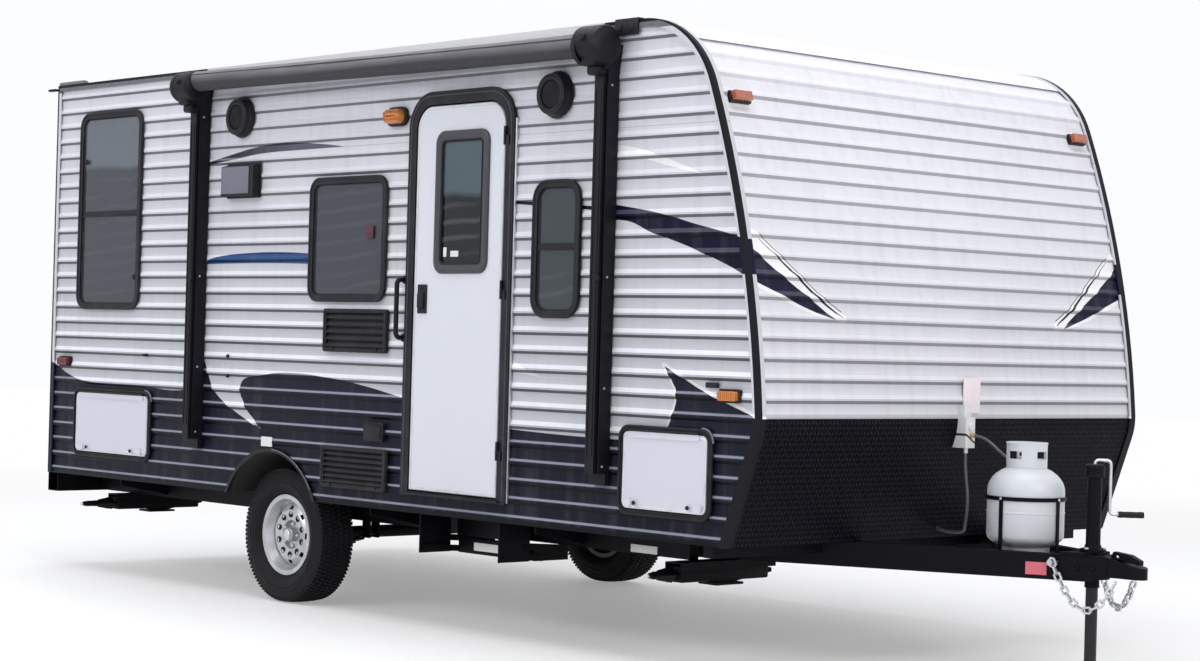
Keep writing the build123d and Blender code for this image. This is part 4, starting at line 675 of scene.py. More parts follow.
def repeated(name, one, places, mat, body="trailer"):
    """Copies of one small mesh at (point, X-Y-Z rotation) places, by Geometry Nodes, as one plain mesh."""
    spots = bpy.data.meshes.new(name + "_spots")
    spots.from_pydata([p for p, _ in places], [], [])
    turn = spots.attributes.new("turn", "FLOAT_VECTOR", "POINT")
    turn.data.foreach_set("vector", [v for _, rotation in places for v in rotation])
    holder = linked(name + "_holder", spots)
    group = bpy.data.node_groups.new(name + "_nodes", "GeometryNodeTree")
    for way in ("INPUT", "OUTPUT"):
        group.interface.new_socket("Geometry", in_out=way, socket_type="NodeSocketGeometry")
    points, result, copies, piece, turns, angles, solid, look = [group.nodes.new(kind)
        for kind in ("NodeGroupInput", "NodeGroupOutput", "GeometryNodeInstanceOnPoints", "GeometryNodeObjectInfo",
        "GeometryNodeInputNamedAttribute", "FunctionNodeEulerToRotation", "GeometryNodeRealizeInstances",
        "GeometryNodeSetMaterial")]
    piece.inputs["Object"].default_value = one
    turns.data_type = "FLOAT_VECTOR"
    turns.inputs["Name"].default_value = "turn"
    look.inputs["Material"].default_value = MATERIALS[mat]
    for a, out, b, into in ((points, 0, copies, "Points"), (piece, "Geometry", copies, "Instance"),
            (turns, "Attribute", angles, 0), (angles, 0, copies, "Rotation"), (copies, 0, solid, 0),
            (solid, 0, look, 0), (look, 0, result, 0)):
        group.links.new(a.outputs[out], b.inputs[into])
    holder.modifiers.new("repeat", "NODES").node_group = group
    obj = baked(name, holder)
    bpy.data.objects.remove(one)
    return finish_piece(obj, mat, body, 35)


def one_lathe(profile, steps=12):
    bm = bmesh.new()
    add_lathe(bm, [(r * MM, h * MM) for r, h in profile], Matrix(), steps)
    return mesh_piece("one", bm, None)


def one_box(size, bevel=1.0):
    bm = bmesh.new()
    half = Vector(size) * MM / 2
    add_box(bm, -half, half, bevel * MM)
    return mesh_piece("one", bm, None)


def off(far, near, side=-1):
    """The y limits of what stands between two distances off a side wall."""
    return sorted((side * (HALF_W + far), side * (HALF_W + near)))


def boxes(name, items, mat, body="trailer", bevel=2.0, segments=2):
    """Rounded boxes given as (x0, x1, y0, y1, z0, z1) in millimetres, as one piece."""
    bm = bmesh.new()
    for x0, x1, y0, y1, z0, z1 in items:
        add_box(bm, at(x0, y0, z0), at(x1, y1, z1), bevel * MM, segments)
    return mesh_piece(name, bm, mat, body, 35)


def stud(r, flat, top_r, top):
    """The profile of a bolt head, screw or knob: straight to flat, then in to its top."""
    return [(0, 0), (r, 0), (r, flat), (top_r, top), (0, top)]


SCREW = [(0, 0), (5, 0), (5, 1), (3.6, 2.4), (1.6, 2.9), (0, 2.9)]
# turns that point a piece made upright
TO_RIGHT, TO_LEFT = (pi / 2, 0, 0), (-pi / 2, 0, 0)
TO_FRONT, TO_REAR = (0, pi / 2, 0), (0, -pi / 2, 0)
UPRIGHT, DOWN = (0, 0, 0), (pi, 0, 0)
R_L = {-1: "r", 1: "l"}


def facing_out(side):
    """The turn that points an upright piece out of a side wall."""
    return TO_RIGHT if side < 0 else TO_LEFT


# ---------------------------------------------------------------- camera, light and floor
scene = bpy.context.scene
scene.view_settings.view_transform = "Standard"


def camera():
    yaw, pitch, roll = radians(137.3987), radians(0.2632), radians(1.5639)
    focal, width, sensor = 2418.10, 1200.0, 36.0  # pixels, pixels, millimetres
    ahead = Vector((cos(yaw) * cos(pitch), sin(yaw) * cos(pitch), sin(pitch)))
    right = ahead.cross(Vector(UP)).normalized()
    up = right.cross(ahead)
    right, up = right * cos(roll) + up * sin(roll), up * cos(roll) - right * sin(roll)
    data = bpy.data.cameras.new("camera")
    data.sensor_width, data.lens = sensor, focal / width * sensor
    data.clip_start, data.clip_end = 0.1, 200.0
    cam = linked("camera", data)
    cam.matrix_world = Matrix((right, up, -ahead)).transposed().to_4x4()
    cam.location = (5.4936, -7.9128, 0.8514)
    scene.camera = cam


def softbox(name, where, towards, size, watts, colour=(1.0, 1.0, 1.0)):
    data = bpy.data.lights.new(name, "AREA")
    data.shape, data.size, data.size_y, data.energy, data.color = "RECTANGLE", *size, watts, colour
    light = linked(name, data)
    light.location = where
    light.rotation_euler = (Vector(towards) - Vector(where)).to_track_quat("-Z", "Y").to_euler()


def seen_directly():
    """1 for what the camera sees of the backdrop, straight on, mirrored or through glass."""
    rays = add_node("ShaderNodeLightPath")
    camera_ray, mirrored, through = [Value(rays.outputs[f"Is {kind} Ray"]) for kind in ("Camera", "Glossy",
        "Transmission")]
    return camera_ray | mirrored | through


def studio():
    global tree
    world = bpy.data.worlds.new("studio")
    world.use_nodes = True
    tree = world.node_tree
    x, y, _ = split(Value(add_node("ShaderNodeTexCoord").outputs["Generated"]))
    # white behind the caravan, dimmer on the side that lights it
    white = above(y * 0.68 - x * 0.74, 0.30, 0.9)
    tree.nodes["Background"].inputs[0].default_value = (0.97, 0.98, 1.0, 1.0)
    put(tree.nodes["Background"].inputs[1], lerp(seen_directly(), lerp(white, 0.40, 1.05), 1.0))
    scene.world = world
    softbox("front_key", (9.0, -2.0, 5.5), (-1.2, 0.0, 0.8), (6.0, 4.0), 430, (1.0, 0.985, 0.965))
    softbox("side_fill", (-4.0, -11.0, 6.5), (-3.2, 0.0, 0.8), (9.0, 3.0), 430, (0.95, 0.965, 1.0))
    softbox("overhead", (-3.0, -1.5, 9.5), (-3.0, 0.0, 0.0), (12.0, 8.0), 760)
    bm = bmesh.new()
    rim, steps, level = 42.0, 48, -0.4455
    bm.faces.new([bm.verts.new((-3 + x * rim, y * rim, level)) for x, y in circle(1, steps)])
    floor = mesh_piece("studio_floor", bm, None)
    begin("studio_floor")
    end(mix(noise(0.6, 3), (0.90, 0.90, 0.91), (0.94, 0.94, 0.95)), 0.6)
    x, y, _ = xyz()
    away = calc("SQRT", (x + 3.0) * (x + 3.0) + y * y)
    backdrop = add_node("ShaderNodeEmission")
    backdrop.inputs["Strength"].default_value = 1.0
    both = add_node("ShaderNodeMixShader")
    put(both.inputs[0], seen_directly() * lerp(above(away, 9.0, 7.0), 0.30, 1.0))
    tree.links.new(tree.nodes["Principled BSDF"].outputs[0], both.inputs[1])
    tree.links.new(backdrop.outputs[0], both.inputs[2])
    tree.links.new(both.outputs[0], tree.nodes["Material Output"].inputs["Surface"])
    floor.data.materials.append(MATERIALS["studio_floor"])


# ---------------------------------------------------------------- gas hoses
def cords():
    """The route's points are part.py's; each hose runs from the regulator back into the object."""
    routes = {"hose_tank": (0.306, [(5332, 8, 950), (5376, 8, 950), (5440, -2, 928), (5500, -8, 888), (5548, -3, 858),
        (5585, 0, 845), (5611, 0, 845)]), "hose_supply": (0.565, [(5305, 8, 897), (5305, 8, 850), (5314, 4, 775),
        (5340, -12, 700), (5356, -36, 630), (5345, -32, 579), (5307, 8, 545), (5175, 40, 539), (5137, 40, 552)])}
    for name, (length, route) in routes.items():
        hose = line(name + "_cord", [at(*point) for point in route], 6.5, 5, 12)
        hose.data.materials.append(MATERIALS["hose_grey"])
        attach(hose, "trailer")
        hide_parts(name)
    lathe("hose_nut_regulator", [(7, 0), (11, 0), (11, 14), (8.5, 18), (8.5, 24), (7, 24)], at(5331, 8, 950), AHEAD,
        "brass", steps=6)
    lathe("hose_nut_valve", [(7, 0), (10, 0), (10, 16), (8.5, 20), (7, 20)], at(5590, 0, 845), AHEAD, "brass", steps=24)
    lathe("hose_collar", [(7, 0), (10, 0), (10, 22), (7, 22)], at(5305, 8, 897), (0, 0, -1), "zinc", steps=16)


# ---------------------------------------------------------------- wheels
def wheel(side, body):
    """Tyre with grooved tread blocks and ringed walls; nuts, cap and valve on the rim."""
    hub, out = at(AXLE_X, side * HALF_TRACK, AXLE_Z), (0, side, 0)
    w, r = 102.0, 325.0
    half = [(319.6, 50), (317.4, 76), (313, 84), (307, 89.5), (300, 93), (287, 97.5), (283, 96), (265, w),
        (262, 99.5), (255, 99.5), (252, w), (240, w), (226, 94), (212, 84), (203, 74), (196, 68.5), (178.3, 68)]
    section = [(reach, -y) for reach, y in half[::-1]] + [(320.2, 0)] + half
    tyre = lathe("tyre_carcass_" + body, section, hub, out, "tyre", body, 96)
    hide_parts("tyre_" + body.split("_")[1])
    around = 96
    base = Matrix(((0, 1, 0), (1, 0, 0), (0, 0, 1))).to_4x4()
    for rib, (y, wide, long, lift, skew) in enumerate(((-78, 26, 17.4, 4.4, 0.0), (-46, 26, 16.4, 1.2, 0.20),
            (-15, 24, 16.8, 0.0, -0.16), (15, 24, 16.8, 0.0, 0.16), (46, 26, 16.4, 1.2, -0.20),
            (78, 26, 17.4, 4.4, 0.0))):
        block = one_box((wide, long, 10.0), 1.6)
        places = []
        for k in range(around):
            a = 2 * pi * (k + 0.5 * (rib % 2)) / around
            reach = (r - 5.2 - lift) * MM
            spin = Matrix.Rotation(a, 4, "Y")
            lean = Matrix.Rotation({0: -0.10, 5: 0.10}.get(rib, 0.0), 4, "Y")
            turn = spin @ base @ Matrix.Rotation(skew, 4, "Z") @ lean
            places.append((hub + spin @ Vector((0, y * MM, reach)), tuple(turn.to_euler("XYZ"))))
        repeated(f"tyre_tread_{rib}_{body}", block, places, "tyre", body)
    nut = one_lathe([(0, 0), (10.5, 0), (10.5, 8), (9, 13), (6, 16), (0, 17)], 6)
    face = facing_out(side)
    repeated("wheel_nuts_" + body, nut, [(hub + Vector((x * MM, side * 0.037, z * MM)), face)
        for x, z in circle(54, 5)], "zinc", body)
    # dark discs where the rim's holes show: painted shade in place of holes
    hole_shade = one_lathe([(0, 48.8), (11.5, 49.0), (12.5, 51.6), (14, 52.0), (15.2, 50.4), (15.2, 45), (0, 45)], 20)
    repeated("wheel_eyes_" + body, hole_shade, [(hub + Vector((x * MM, 0, z * MM)), face) for x, z in circle(97, 10, 0.5)],
        "seal_black", body)
    lathe("wheel_cap_" + body, [(0, 78), (20, 77), (27, 73), (30, 66), (30, 60), (33, 58), (33, 50), (31, 50),
        (31, 58), (0, 60)], hub, out, "zinc", body)
    lathe("wheel_ring_" + body, [(186, 70), (190.5, 76), (193.5, 76.5), (195.5, 73), (193, 68)], hub, out,
        "rim_silver", body, 72)
    lathe("wheel_valve_" + body, [(0, 30), (4.2, 30), (4.2, 52), (3.2, 54), (3.2, 66), (0, 66)],
        hub + Vector((0.118, 0, 0.118)), out, "seal_black", body, 10)
    if side < 0:
        lathe("wheel_weld_" + body, [(150.5, 14), (153.5, 16), (153.5, 22), (150.5, 24)], hub, out, "rim_silver",
            body, 64)


# ---------------------------------------------------------------- windows
WINDOWS = ((254, 863, 1396, 2434, 80, -1), (2353, 2942, 1449, 2026, 70, -1), (3953, 4250, 1390, 1967, 85, -1),
    (254, 863, 1396, 2434, 80, 1), (2353, 3327, 1449, 2026, 70, 1), (3953, 4250, 1390, 1967, 85, 1))


def corner(cx, cz, r, start, steps):
    """A quarter turn as (x, z) points."""
    turns = (radians(start + 90 * k / steps) for k in range(steps + 1))
    return [(cx + r * cos(a), cz + r * sin(a)) for a in turns]


def loop_points(x0, x1, z0, z1, r):
    """A rounded rectangle as (x, z) points."""
    return [point for cx, cz, start in ((x1 - r, z1 - r, 0), (x0 + r, z1 - r, 90), (x0 + r, z0 + r, 180),
        (x1 - r, z0 + r, 270)) for point in corner(cx, cz, r, start, 6)]


def inset(x0, x1, z0, z1, r, steps):
    """A rectangle's loops for ring(), one for each (inset, out) step."""
    return [(x0 + d, x1 - d, z0 + d, z1 - d, max(r - d, 3), out) for d, out in steps]


def ring(name, loops, place_of, mat, body="trailer"):
    """A band through several rounded rectangles: loops are (x0, x1, z0, z1, r, out)."""
    bm = bmesh.new()
    rows = [[bm.verts.new(place_of(x, z, loop[-1])) for x, z in loop_points(*loop[:-1])] for loop in loops]
    skin(bm, rows + rows[:1])
    return mesh_piece(name, bm, mat, body, 50)


def on_side(side):
    return lambda x, z, out: at(x, side * (HALF_W + out), z)


def lip(name, x0, x1, z0, z1, r, wide, low, high, side, mat="frame_black"):
    """A rounded bead round a rectangle: wide across, from low to high off the wall."""
    steps = ((0, low), (0, high - 2), (2, high), (wide - 2, high), (wide, high - 2), (wide, low))
    return ring(name, inset(x0, x1, z0, z1, r, steps), on_side(side), mat)


def windows():
    """Lips, seals, blinds and weep slots of the windows, and the sliding panes' rails."""
    for i, (x0, x1, z0, z1, r, side) in enumerate(WINDOWS):
        lip(f"window_lip_{i}", x0 - 2, x1 + 2, z0 - 2, z1 + 2, r + 2, 13, 1, 15, side)
        lip(f"window_seal_{i}", x0 + 24, x1 - 24, z0 + 24, z1 - 24, r - 24, 12, -3, 5, side, "seal_black")
        boxes(f"window_blind_{i}", [(x0 + 34, x1 - 34, *off(-43, -47, side), z1 - 60 - 16 * k, z1 - 46 - 16 * k)
            for k in range(5)], "blind", bevel=3)
        weep = [(x - 11, x + 11, *off(13.5, 11, side), z0 + 6, z0 + 12) for x in (lerp(0.3, x0, x1), lerp(0.7, x0, x1))]
        boxes(f"window_weep_{i}", weep, "seal_black", bevel=1.2)
    steps = ((-2, 1), (-2, 13), (0, 15), (10, 15), (12, 13), (12, 1))
    ring("window_lip_rear", inset(-520, 520, 1500, 2040, 70, steps), lambda y, z, out: at(-out, y, z), "frame_black")
    boxes("window_latch", [(2884, 2902, *off(-7, -16), 1786, 1830), (520, 592, *off(-7, -16), 1908, 1921)],
        "red_lens", bevel=3)
    # the slim rails of the lower, sliding panes
    rails = []
    for x0, x1, z0, bar, side in ((254, 863, 1396, 1900, -1), (3953, 4250, 1390, 1690, -1), (254, 863, 1396, 1900, 1),
            (3953, 4250, 1390, 1690, 1)):
        pane = off(-1, -12, side)
        rails += [(x0 + 36, x0 + 48, *pane, z0 + 36, bar - 14), (x1 - 48, x1 - 36, *pane, z0 + 36, bar - 14),
            (x0 + 36, x1 - 36, *pane, z0 + 34, z0 + 46), (x0 + 34, x1 - 34, *off(11, 4, side), bar - 16, bar - 10)]
    boxes("window_slides", rails, "frame_black", bevel=2)


# ---------------------------------------------------------------- entry door
def entry_door():
    """What the door and its frame carry: edges, window, latch, hinge leaves, screws and sill."""
    x0, x1, z0, z1 = 3163, 3763, 616, 2316
    face = HALF_W + 12
    # a soft bead round the door and the window's clamping ring
    bm = bmesh.new()
    rows = []
    for d, out in ((1, face - 6), (1, face + 0.5), (2.5, face + 2.5), (12, face + 2.5), (14, face + 0.3)):
        line_of = [*corner(x1 - 100, z1 - 100, 100 - d, 0, 8), *corner(x0 + 100, z1 - 100, 100 - d, 90, 8),
            (x0 + d, z0 + d), (x1 - d, z0 + d)]
        rows.append([bm.verts.new(at(x, -out, z)) for x, z in line_of])
    skin(bm, rows)
    mesh_piece("door_edge", bm, "trim_light", "entry_door", 40)
    wx0, wx1, wz0, wz1 = 3305, 3663, 1579, 2200
    loop = lambda d, r, out: (wx0 + d, wx1 - d, wz0 + d, wz1 - d, r, out)
    rim = ring("door_window_ring", [loop(-3, 55, 12.5), loop(-3, 55, 20), loop(0, 52, 23), loop(15, 38, 25),
        loop(19, 36, 23), loop(30, 28, 22), loop(42, 20, 20), loop(42, 20, 12.5)], on_side(-1), "frame_grey",
        "entry_door")
    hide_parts("door_fittings")
    ring("door_window_bead", [loop(36, 24, 19), loop(37, 24, 23.4), loop(40, 21, 24), loop(46, 17, 21),
        loop(46, 17, 12)], on_side(-1), "seal_black", "entry_door")
    boxes("door_blind", [(wx0 + 50, wx1 - 50, -1222, -1218, wz1 - 70 - 15 * k, wz1 - 58 - 15 * k) for k in range(6)],
        "blind", "entry_door", bevel=3)
    lx, lz = x0 + 62, z0 + 850
    boxes("door_latch", [(lx - 31, lx + 31, -face - 8, -face + 2, lz - 66, lz + 62),
        (lx - 21, lx + 21, -face - 20, -face - 6, lz - 44, lz + 26)], "frame_black", "entry_door", bevel=9,
        segments=4)
    lathe("door_lock", stud(8, 2.5, 6, 4), at(lx, -(face + 8), lz + 46), OUT, "seal_black", "entry_door", 24)
    for k, z in enumerate((z0 + 160, (z0 + z1) / 2, z1 - 190)):
        lathe(f"door_knuckle_{k}", [(0, 40.3), (5.2, 40.3), (6, 41.3), (6, 79), (5, 80), (0, 80)],
            at(x1 + 10, -(HALF_W + 24), z), UP, "frame_black", "entry_door", 20)
        boxes(f"door_leaf_{k}", [(x1 - 16, x1 + 8, -(face + 14.5), -(face + 9.5), z + 41, z + 79),
            (x1 - 16, x1 - 8, -(face + 12), -face, z + 41, z + 79)], "door_white", "entry_door", bevel=1.5)
    sides = [(x, z) for z in range(700, 2240, 190) for x in (x0 - 46, x1 + 46)]
    screw = one_lathe(SCREW, 10)
    repeated("door_frame_screws", screw, [(at(x, -(HALF_W + 16), z), TO_RIGHT) for x, z in sides], "frame_black")
    # the window's two small marks
    boxes("door_marks", [(3362, 3384, -1232.6, -1231, 1650, 1692), (3412, 3466, -1232.6, -1231, 1650, 1676)], "label",
        "entry_door", bevel=0.5)
    # sill with a ribbed step edge
    boxes("door_sill", [(x0 - 30, x1 + 30, *off(34, 1), 596, 602)] + [(x0 - 28, x1 + 28, *off(31 - 8 * k, 27 - 8 * k),
        601.5, 604) for k in range(3)], "frame_black", bevel=1)
    # a pale strip along the frame's front edge, standing in for the highlight on its seal (a painted highlight), and a
    # raised line round the frame
    boxes("door_sealant", [(x1 + 60, x1 + 68, *off(9, -4), 596, 2240)], "trim_light", bevel=2)
    left, right, top, bend = x0 - 44, x1 + 44, z1 + 48, 136
    arc = [(bend * (1 - cos(a)), bend * (1 - sin(a))) for a in (0.0, 0.26, 0.52, 0.79, 1.05, 1.31, 1.57)]
    path = [(left, 604), *((left + dx, top - dz) for dx, dz in arc), *((right - dx, top - dz)
        for dx, dz in arc[::-1]), (right, 604)]
    tube("door_frame_line", [at(x, -(HALF_W + 15.5), z) for x, z in path], 3.6, "frame_grey")


def window_marks():
    """Blank escape label and the small latches seen through the panes."""
    boxes("window_label", [(2792, 2846, *off(9.6, 8), 1738, 1796)], "label_wine", bevel=0.4)
    knob = one_lathe(stud(15, 5, 10, 8), 14)
    repeated("window_latches", knob, [(at(x, -(HALF_W + 8), z), TO_RIGHT) for x, z in ((322, 2176), (820, 1566))],
        "seal_black")


def hatches():
    """Rims, latches and hinge screws of the three baggage doors."""
    for tag, x0, x1, z0, z1, side, body in (("rear", 258, 1008, 618, 976, -1, "baggage_rear"),
            ("front", 4521, 5048, 606, 964, -1, "baggage_front"), ("left", 4521, 5048, 606, 964, 1, "baggage_left")):
        lip("hatch_lip_" + tag, x0 - 2, x1 + 2, z0 - 2, z1 + 2, 54, 12, 1, 13, side)
        loop = lambda d, out: (x0 + 25 + d, x1 - 25 - d, z0 + 25 + d, z1 - 31 - d, 27 - d * 0.3, out)
        ring("hatch_edge_" + tag, [loop(0.6, 8), loop(0.6, 10.8), loop(3, 12), loop(10, 12), loop(12, 10.2)],
            on_side(side), "trim_light", body)
        knob = one_lathe([(0, 0), (9, 0), (9, 3), (7, 6), (4, 7), (0, 7)], 16)
        xs = (x0 + (x1 - x0) * 0.20, x0 + (x1 - x0) * 0.78)
        band_steps = ((0, 13.2), (0, 14.6), (3, 14.6), (3, 13.2))
        ring("hatch_band_" + tag, inset(x0 + 9, x1 - 9, z0 + 9, z1 - 9, 44, band_steps), on_side(side), "seal_black")
        repeated("hatch_latches_" + tag, knob, [(at(x, side * (HALF_W + 18.8), z0 + 48), facing_out(side))
            for x in xs], "frame_black", body)
        # a pale arc at the frame's upper front corner: painted highlight of the trim
        tube("hatch_arc_" + tag, [at(x1 - 50 + 54 * sin(a), side * (HALF_W + 5), z1 - 50 + 54 * cos(a))
            for a in (-0.15, 0.2, 0.55, 0.9, 1.25, 1.6)], 4.5, "hood_grey")
        screw = one_lathe([(0, 0), (3.4, 0), (2.4, 1.6), (0, 2)], 8)
        repeated("hatch_hinge_screws_" + tag, screw, [(at(x0 + 90 + k * 90, side * (HALF_W + 16), z1 - 36),
            facing_out(side)) for k in range(int((x1 - x0 - 130) / 90))], "zinc", body)


# ---------------------------------------------------------------- awning
def awning():
    """The rolled cloth between its two arms, which lie folded against the wall."""
    y, z = -(HALF_W + 100), 2503.0
    rear_x, front_x, half_arm, head = 1396, 4374, 41, 75
    x0, x1 = rear_x + half_arm + head, front_x + half_arm - head
    # the rolled cloth: a spiral edge, a hem rope and slack that deepens towards the middle
    bm = bmesh.new()
    rows, around = 72, 40
    slack = lambda t: 25.0 - 29.0 * t - 4.0 * sin(pi * t)
    grid = []
    for i in range(rows + 1):
        t = i / rows
        turns = []
        for k in range(around):
            a = 2 * pi * k / around
            turn = (a + 0.6) % (2 * pi) / (2 * pi)
            r = 47.0 + 2.4 * turn + 0.9 * sin(3 * a + 9 * t) + 0.7 * sin(2 * a - 31 * t) * sin(17 * t)
            turns.append(bm.verts.new(at(x0 + (x1 - x0) * t, y + r * cos(a), z + slack(t) + r * sin(a))))
        grid.append(turns)
    skin(bm, grid)
    bm.faces.new(grid[0])
    bm.faces.new(grid[-1])
    roll = mesh_piece("awning_roll_cloth", bm, "awning_fabric", smooth=50)
    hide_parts("awning_roll")
    tube("awning_hem", [at(x0 + 4, y - 40, z + 53), at((x0 + x1) / 2, y - 40, z + 33), at(x1 - 4, y - 40, z + 24)],
        4.0, "awning_fabric")
    # the flap that runs back to the wall rail
    bm = bmesh.new()
    steps, thick = 60, 0.0022
    rows = []
    for k, (dy, dz, follow) in enumerate(((98, 34, 0.0), (70, 38, 0.5), (30, 46, 0.9), (0, 48.5, 1.0))):
        rows.append([bm.verts.new(at(x0 + (x1 - x0) * i / steps, y + dy, z + dz + follow * slack(i / steps)
            - (5 * sin(9.0 * i / steps) ** 2 if k in (1, 2) else 0))) for i in range(steps + 1)])
    low = [[bm.verts.new(v.co - Vector((0, 0, thick))) for v in row] for row in rows]
    for layers in (rows, low[::-1], [rows[0], low[0]], [rows[-1], low[-1]]):
        skin(bm, layers, around=False)
    mesh_piece("awning_flap", bm, "awning_fabric", smooth=60)
    boxes("awning_rail", [(x0 - 60, x1 + 60, *off(13, 0), z + 24, z + 40)], "trim_light", bevel=3)
    for tag, mid, drop, bolts in (("rear", rear_x + half_arm, 0, (795, 1117, 1567, 2356)),
            ("front", front_x + half_arm, 12, (789, 1107, 1558, 2338))):
        for end, end_x, way in (("a", mid - head, -1), ("b", mid + head, 1)):
            lathe(f"awning_cap_{tag}_{end}", [(0, 9), (30, 9), (46, 7.5), (62, 4), (72, -1), (75.5, -8), (75.5, -30),
                (73, -30), (73, -4), (0, 0)], at(end_x, y, z - drop), (way, 0, 0), "awning_black", steps=40)
        lathe("awning_boss_" + tag, [(0, 14), (12, 14), (16, 11), (18, 0), (0, 0)], at(mid, y - 68, z + 20),
            (0, -1, 0.3), "awning_black", steps=24)
        boxes("awning_head_" + tag, [(mid - 43, mid + 43, y - 44, -HALF_W - 2, z - 92, z - 40),
            (mid - 34, mid + 34, y - 20, -HALF_W - 2, z - 128, z - 84)], "awning_black", bevel=14, segments=4)
        # the folded arm in its channel: inner bar, slide block, knob and screws
        boxes("awning_bar_" + tag, [(mid - 17, mid + 17, *off(62, 30), 800, 2372),
            (mid - 22, mid + 22, *off(70, 26), 1500, 1610), (mid - 26, mid + 26, *off(74, 20), 2330, 2396),
            (mid - 24, mid + 24, *off(70, 16), 762, 812)], "awning_black", bevel=4)
        grooves = [(mid - 20 + dx, mid - 17 + dx, *off(77.5, 74), 830, 2320) for dx in (4, 32)]
        boxes("awning_ribs_" + tag, grooves, "awning_black", bevel=1)
        bolt = one_lathe([(0, 0), (5, 0), (5, 2), (3.6, 3.4), (0, 4)], 12)
        places = [(at(mid + half_arm, -(HALF_W + 40), height), TO_FRONT) for height in bolts]
        repeated("awning_bolts_" + tag, bolt, places, "zinc")
        lathe("awning_knob_" + tag, [(0, 16), (15, 15), (18, 10), (18, 3), (8, 0), (0, 0)],
            at(mid + 20, -(HALF_W + 72), 1555), OUT, "awning_black", steps=12)


# ---------------------------------------------------------------- fittings on the walls
def side_fittings():
    """Speakers, lamps, louvres, hood vent and small plates."""
    for k, (x, z) in enumerate(((1766, 2342), (4083, 2323))):
        c = at(x, -HALF_W, z)
        lathe(f"speaker_ring_{k}", [(98, 0), (100, 4), (99, 12), (90, 30), (78, 47), (72, 50), (64, 49), (60, 44),
            (60, 36), (66, 36), (74, 40), (88, 20), (94, 0)], c, OUT, "frame_black", steps=56)
        grille = [(60, 36), (58, 40)]
        for j in range(7):
            r = 56 - 8 * j
            grille += [(r, 41), (r - 2, 43.5), (r - 4, 43.5), (r - 6, 41)]
        lathe(f"speaker_grille_{k}", grille + [(0, 42), (0, 36)], c, OUT, "frame_black", steps=56)
    # porch light: a fluted oval lens
    x, z = 3000, 2285
    steps = ((0, 14), (0, 30), (4, 42), (12, 50), (22, 54), (29, 55))
    ring("porch_lens", inset(x - 62, x + 62, z - 33, z + 33, 33, steps), on_side(-1), "amber_lens")
    ring("porch_base_edge", [(x - 77, x + 77, z - 44, z + 44, 42, 0), (x - 77, x + 77, z - 44, z + 44, 42, 12),
        (x - 74, x + 74, z - 41, z + 41, 40, 16), (x - 62, x + 62, z - 33, z + 33, 33, 16)], on_side(-1),
        "frame_black")
    flutes = [(x - 46 + 10 * k, x - 43 + 10 * k, *off(55.5, 50), z - 20, z + 20) for k in range(10)]
    boxes("porch_flutes", flutes, "amber_lens", bevel=1.2)
    # raised rims and flutes on the marker lamps
    items = {"amber_lens": [], "red_lens": []}
    for side in (-1, 1):
        for mat, x, z in (("amber_lens", 5135, 1100), ("red_lens", 145, 1114)):
            items[mat] += [(x - 44 + 11 * k, x - 39 + 11 * k, *off(30, 27, side), z - 15, z + 15) for k in range(9)]
            lip(f"marker_bead_{mat[:3]}_{R_L[side]}", x - 58, x + 58, z - 27, z + 27, 10, 8, 1, 10, side)
    for mat, rows in items.items():
        boxes("marker_flutes_" + mat[:3], rows, mat, bevel=1.2)
    tail = [(-43, -39, y - 50, y + 50, 668 + 23 * k, 674 + 23 * k) for y in (-1060, 1060) for k in range(9)]
    boxes("tail_lamp_flutes", tail, "red_lens", bevel=1.5)
    # louvre frames, screws and the hood vent
    for tag, x0, x1, z0, z1 in (("upper", 2494, 2968, 1219, 1413), ("lower", 2502, 2988, 592, 778)):
        lip("vent_lip_" + tag, x0 - 3, x1 + 3, z0 - 3, z1 + 3, 13, 14, 1, 19, -1, "vent_black")
        knob = one_lathe(stud(9, 3, 5, 5), 16)
        repeated("vent_knobs_" + tag, knob, [(at(x, -(HALF_W + 18), z0 + 10), TO_RIGHT) for x in (x0 + 70, x1 - 70)],
            "vent_black")
    x0, x1, z0, z1 = 1654, 1926, 1956, 2113
    boxes("hood_face", [(x0 + 4, x1 - 34, *off(50, 44), z0 + 12, z1 - 14)], "hood_grey", bevel=2.4)
    boxes("hood_rim", [(x0 - 6, x1 + 6, *off(7, 0), z0 - 8, z1 + 6)], "vent_black", bevel=2)
    x0, x1, z0, z1 = 2818, 2962, 816, 902
    boxes("small_hatch_flap", [(x0 + 14, x1 - 14, *off(19, 13), z0 + 12, z1 - 14),
        (x0 + 20, x1 - 20, *off(22, 18), z1 - 18, z1 - 10)], "vent_black", bevel=2.5)
    boxes("wall_labels", [(1991, 2081, *off(1.2, -3.2), 750, 796)], "label", bevel=0.5)
    boxes("key_marks", [(1682, 1700, *off(9, -2), 1168, 1184), (1682, 1700, *off(9, -2), 1070, 1086),
        (5004, 5072, *off(11, -2), 1128, 1150)], "frame_black", bevel=4, segments=3)
    # hold-back catch over the rear baggage door
    boxes("hold_back", [(930, 962, *off(20, 0), 1156, 1170)], "frame_black", bevel=4)


def arch_highlight_beads():
    """Pale bead along the front half of each wheel arch, standing in for its lit edge: a painted highlight."""
    r, lowest = 414, 520
    for side in (-1, 1):
        turns = [a for a in (0.10 + 0.13 * k for k in range(12)) if AXLE_Z + r * sin(a) > lowest]
        tube("arch_bead_" + R_L[side], [at(AXLE_X + r * cos(a), side * (HALF_W + 5.5), AXLE_Z + r * sin(a))
            for a in turns], 2.4, "hood_grey")


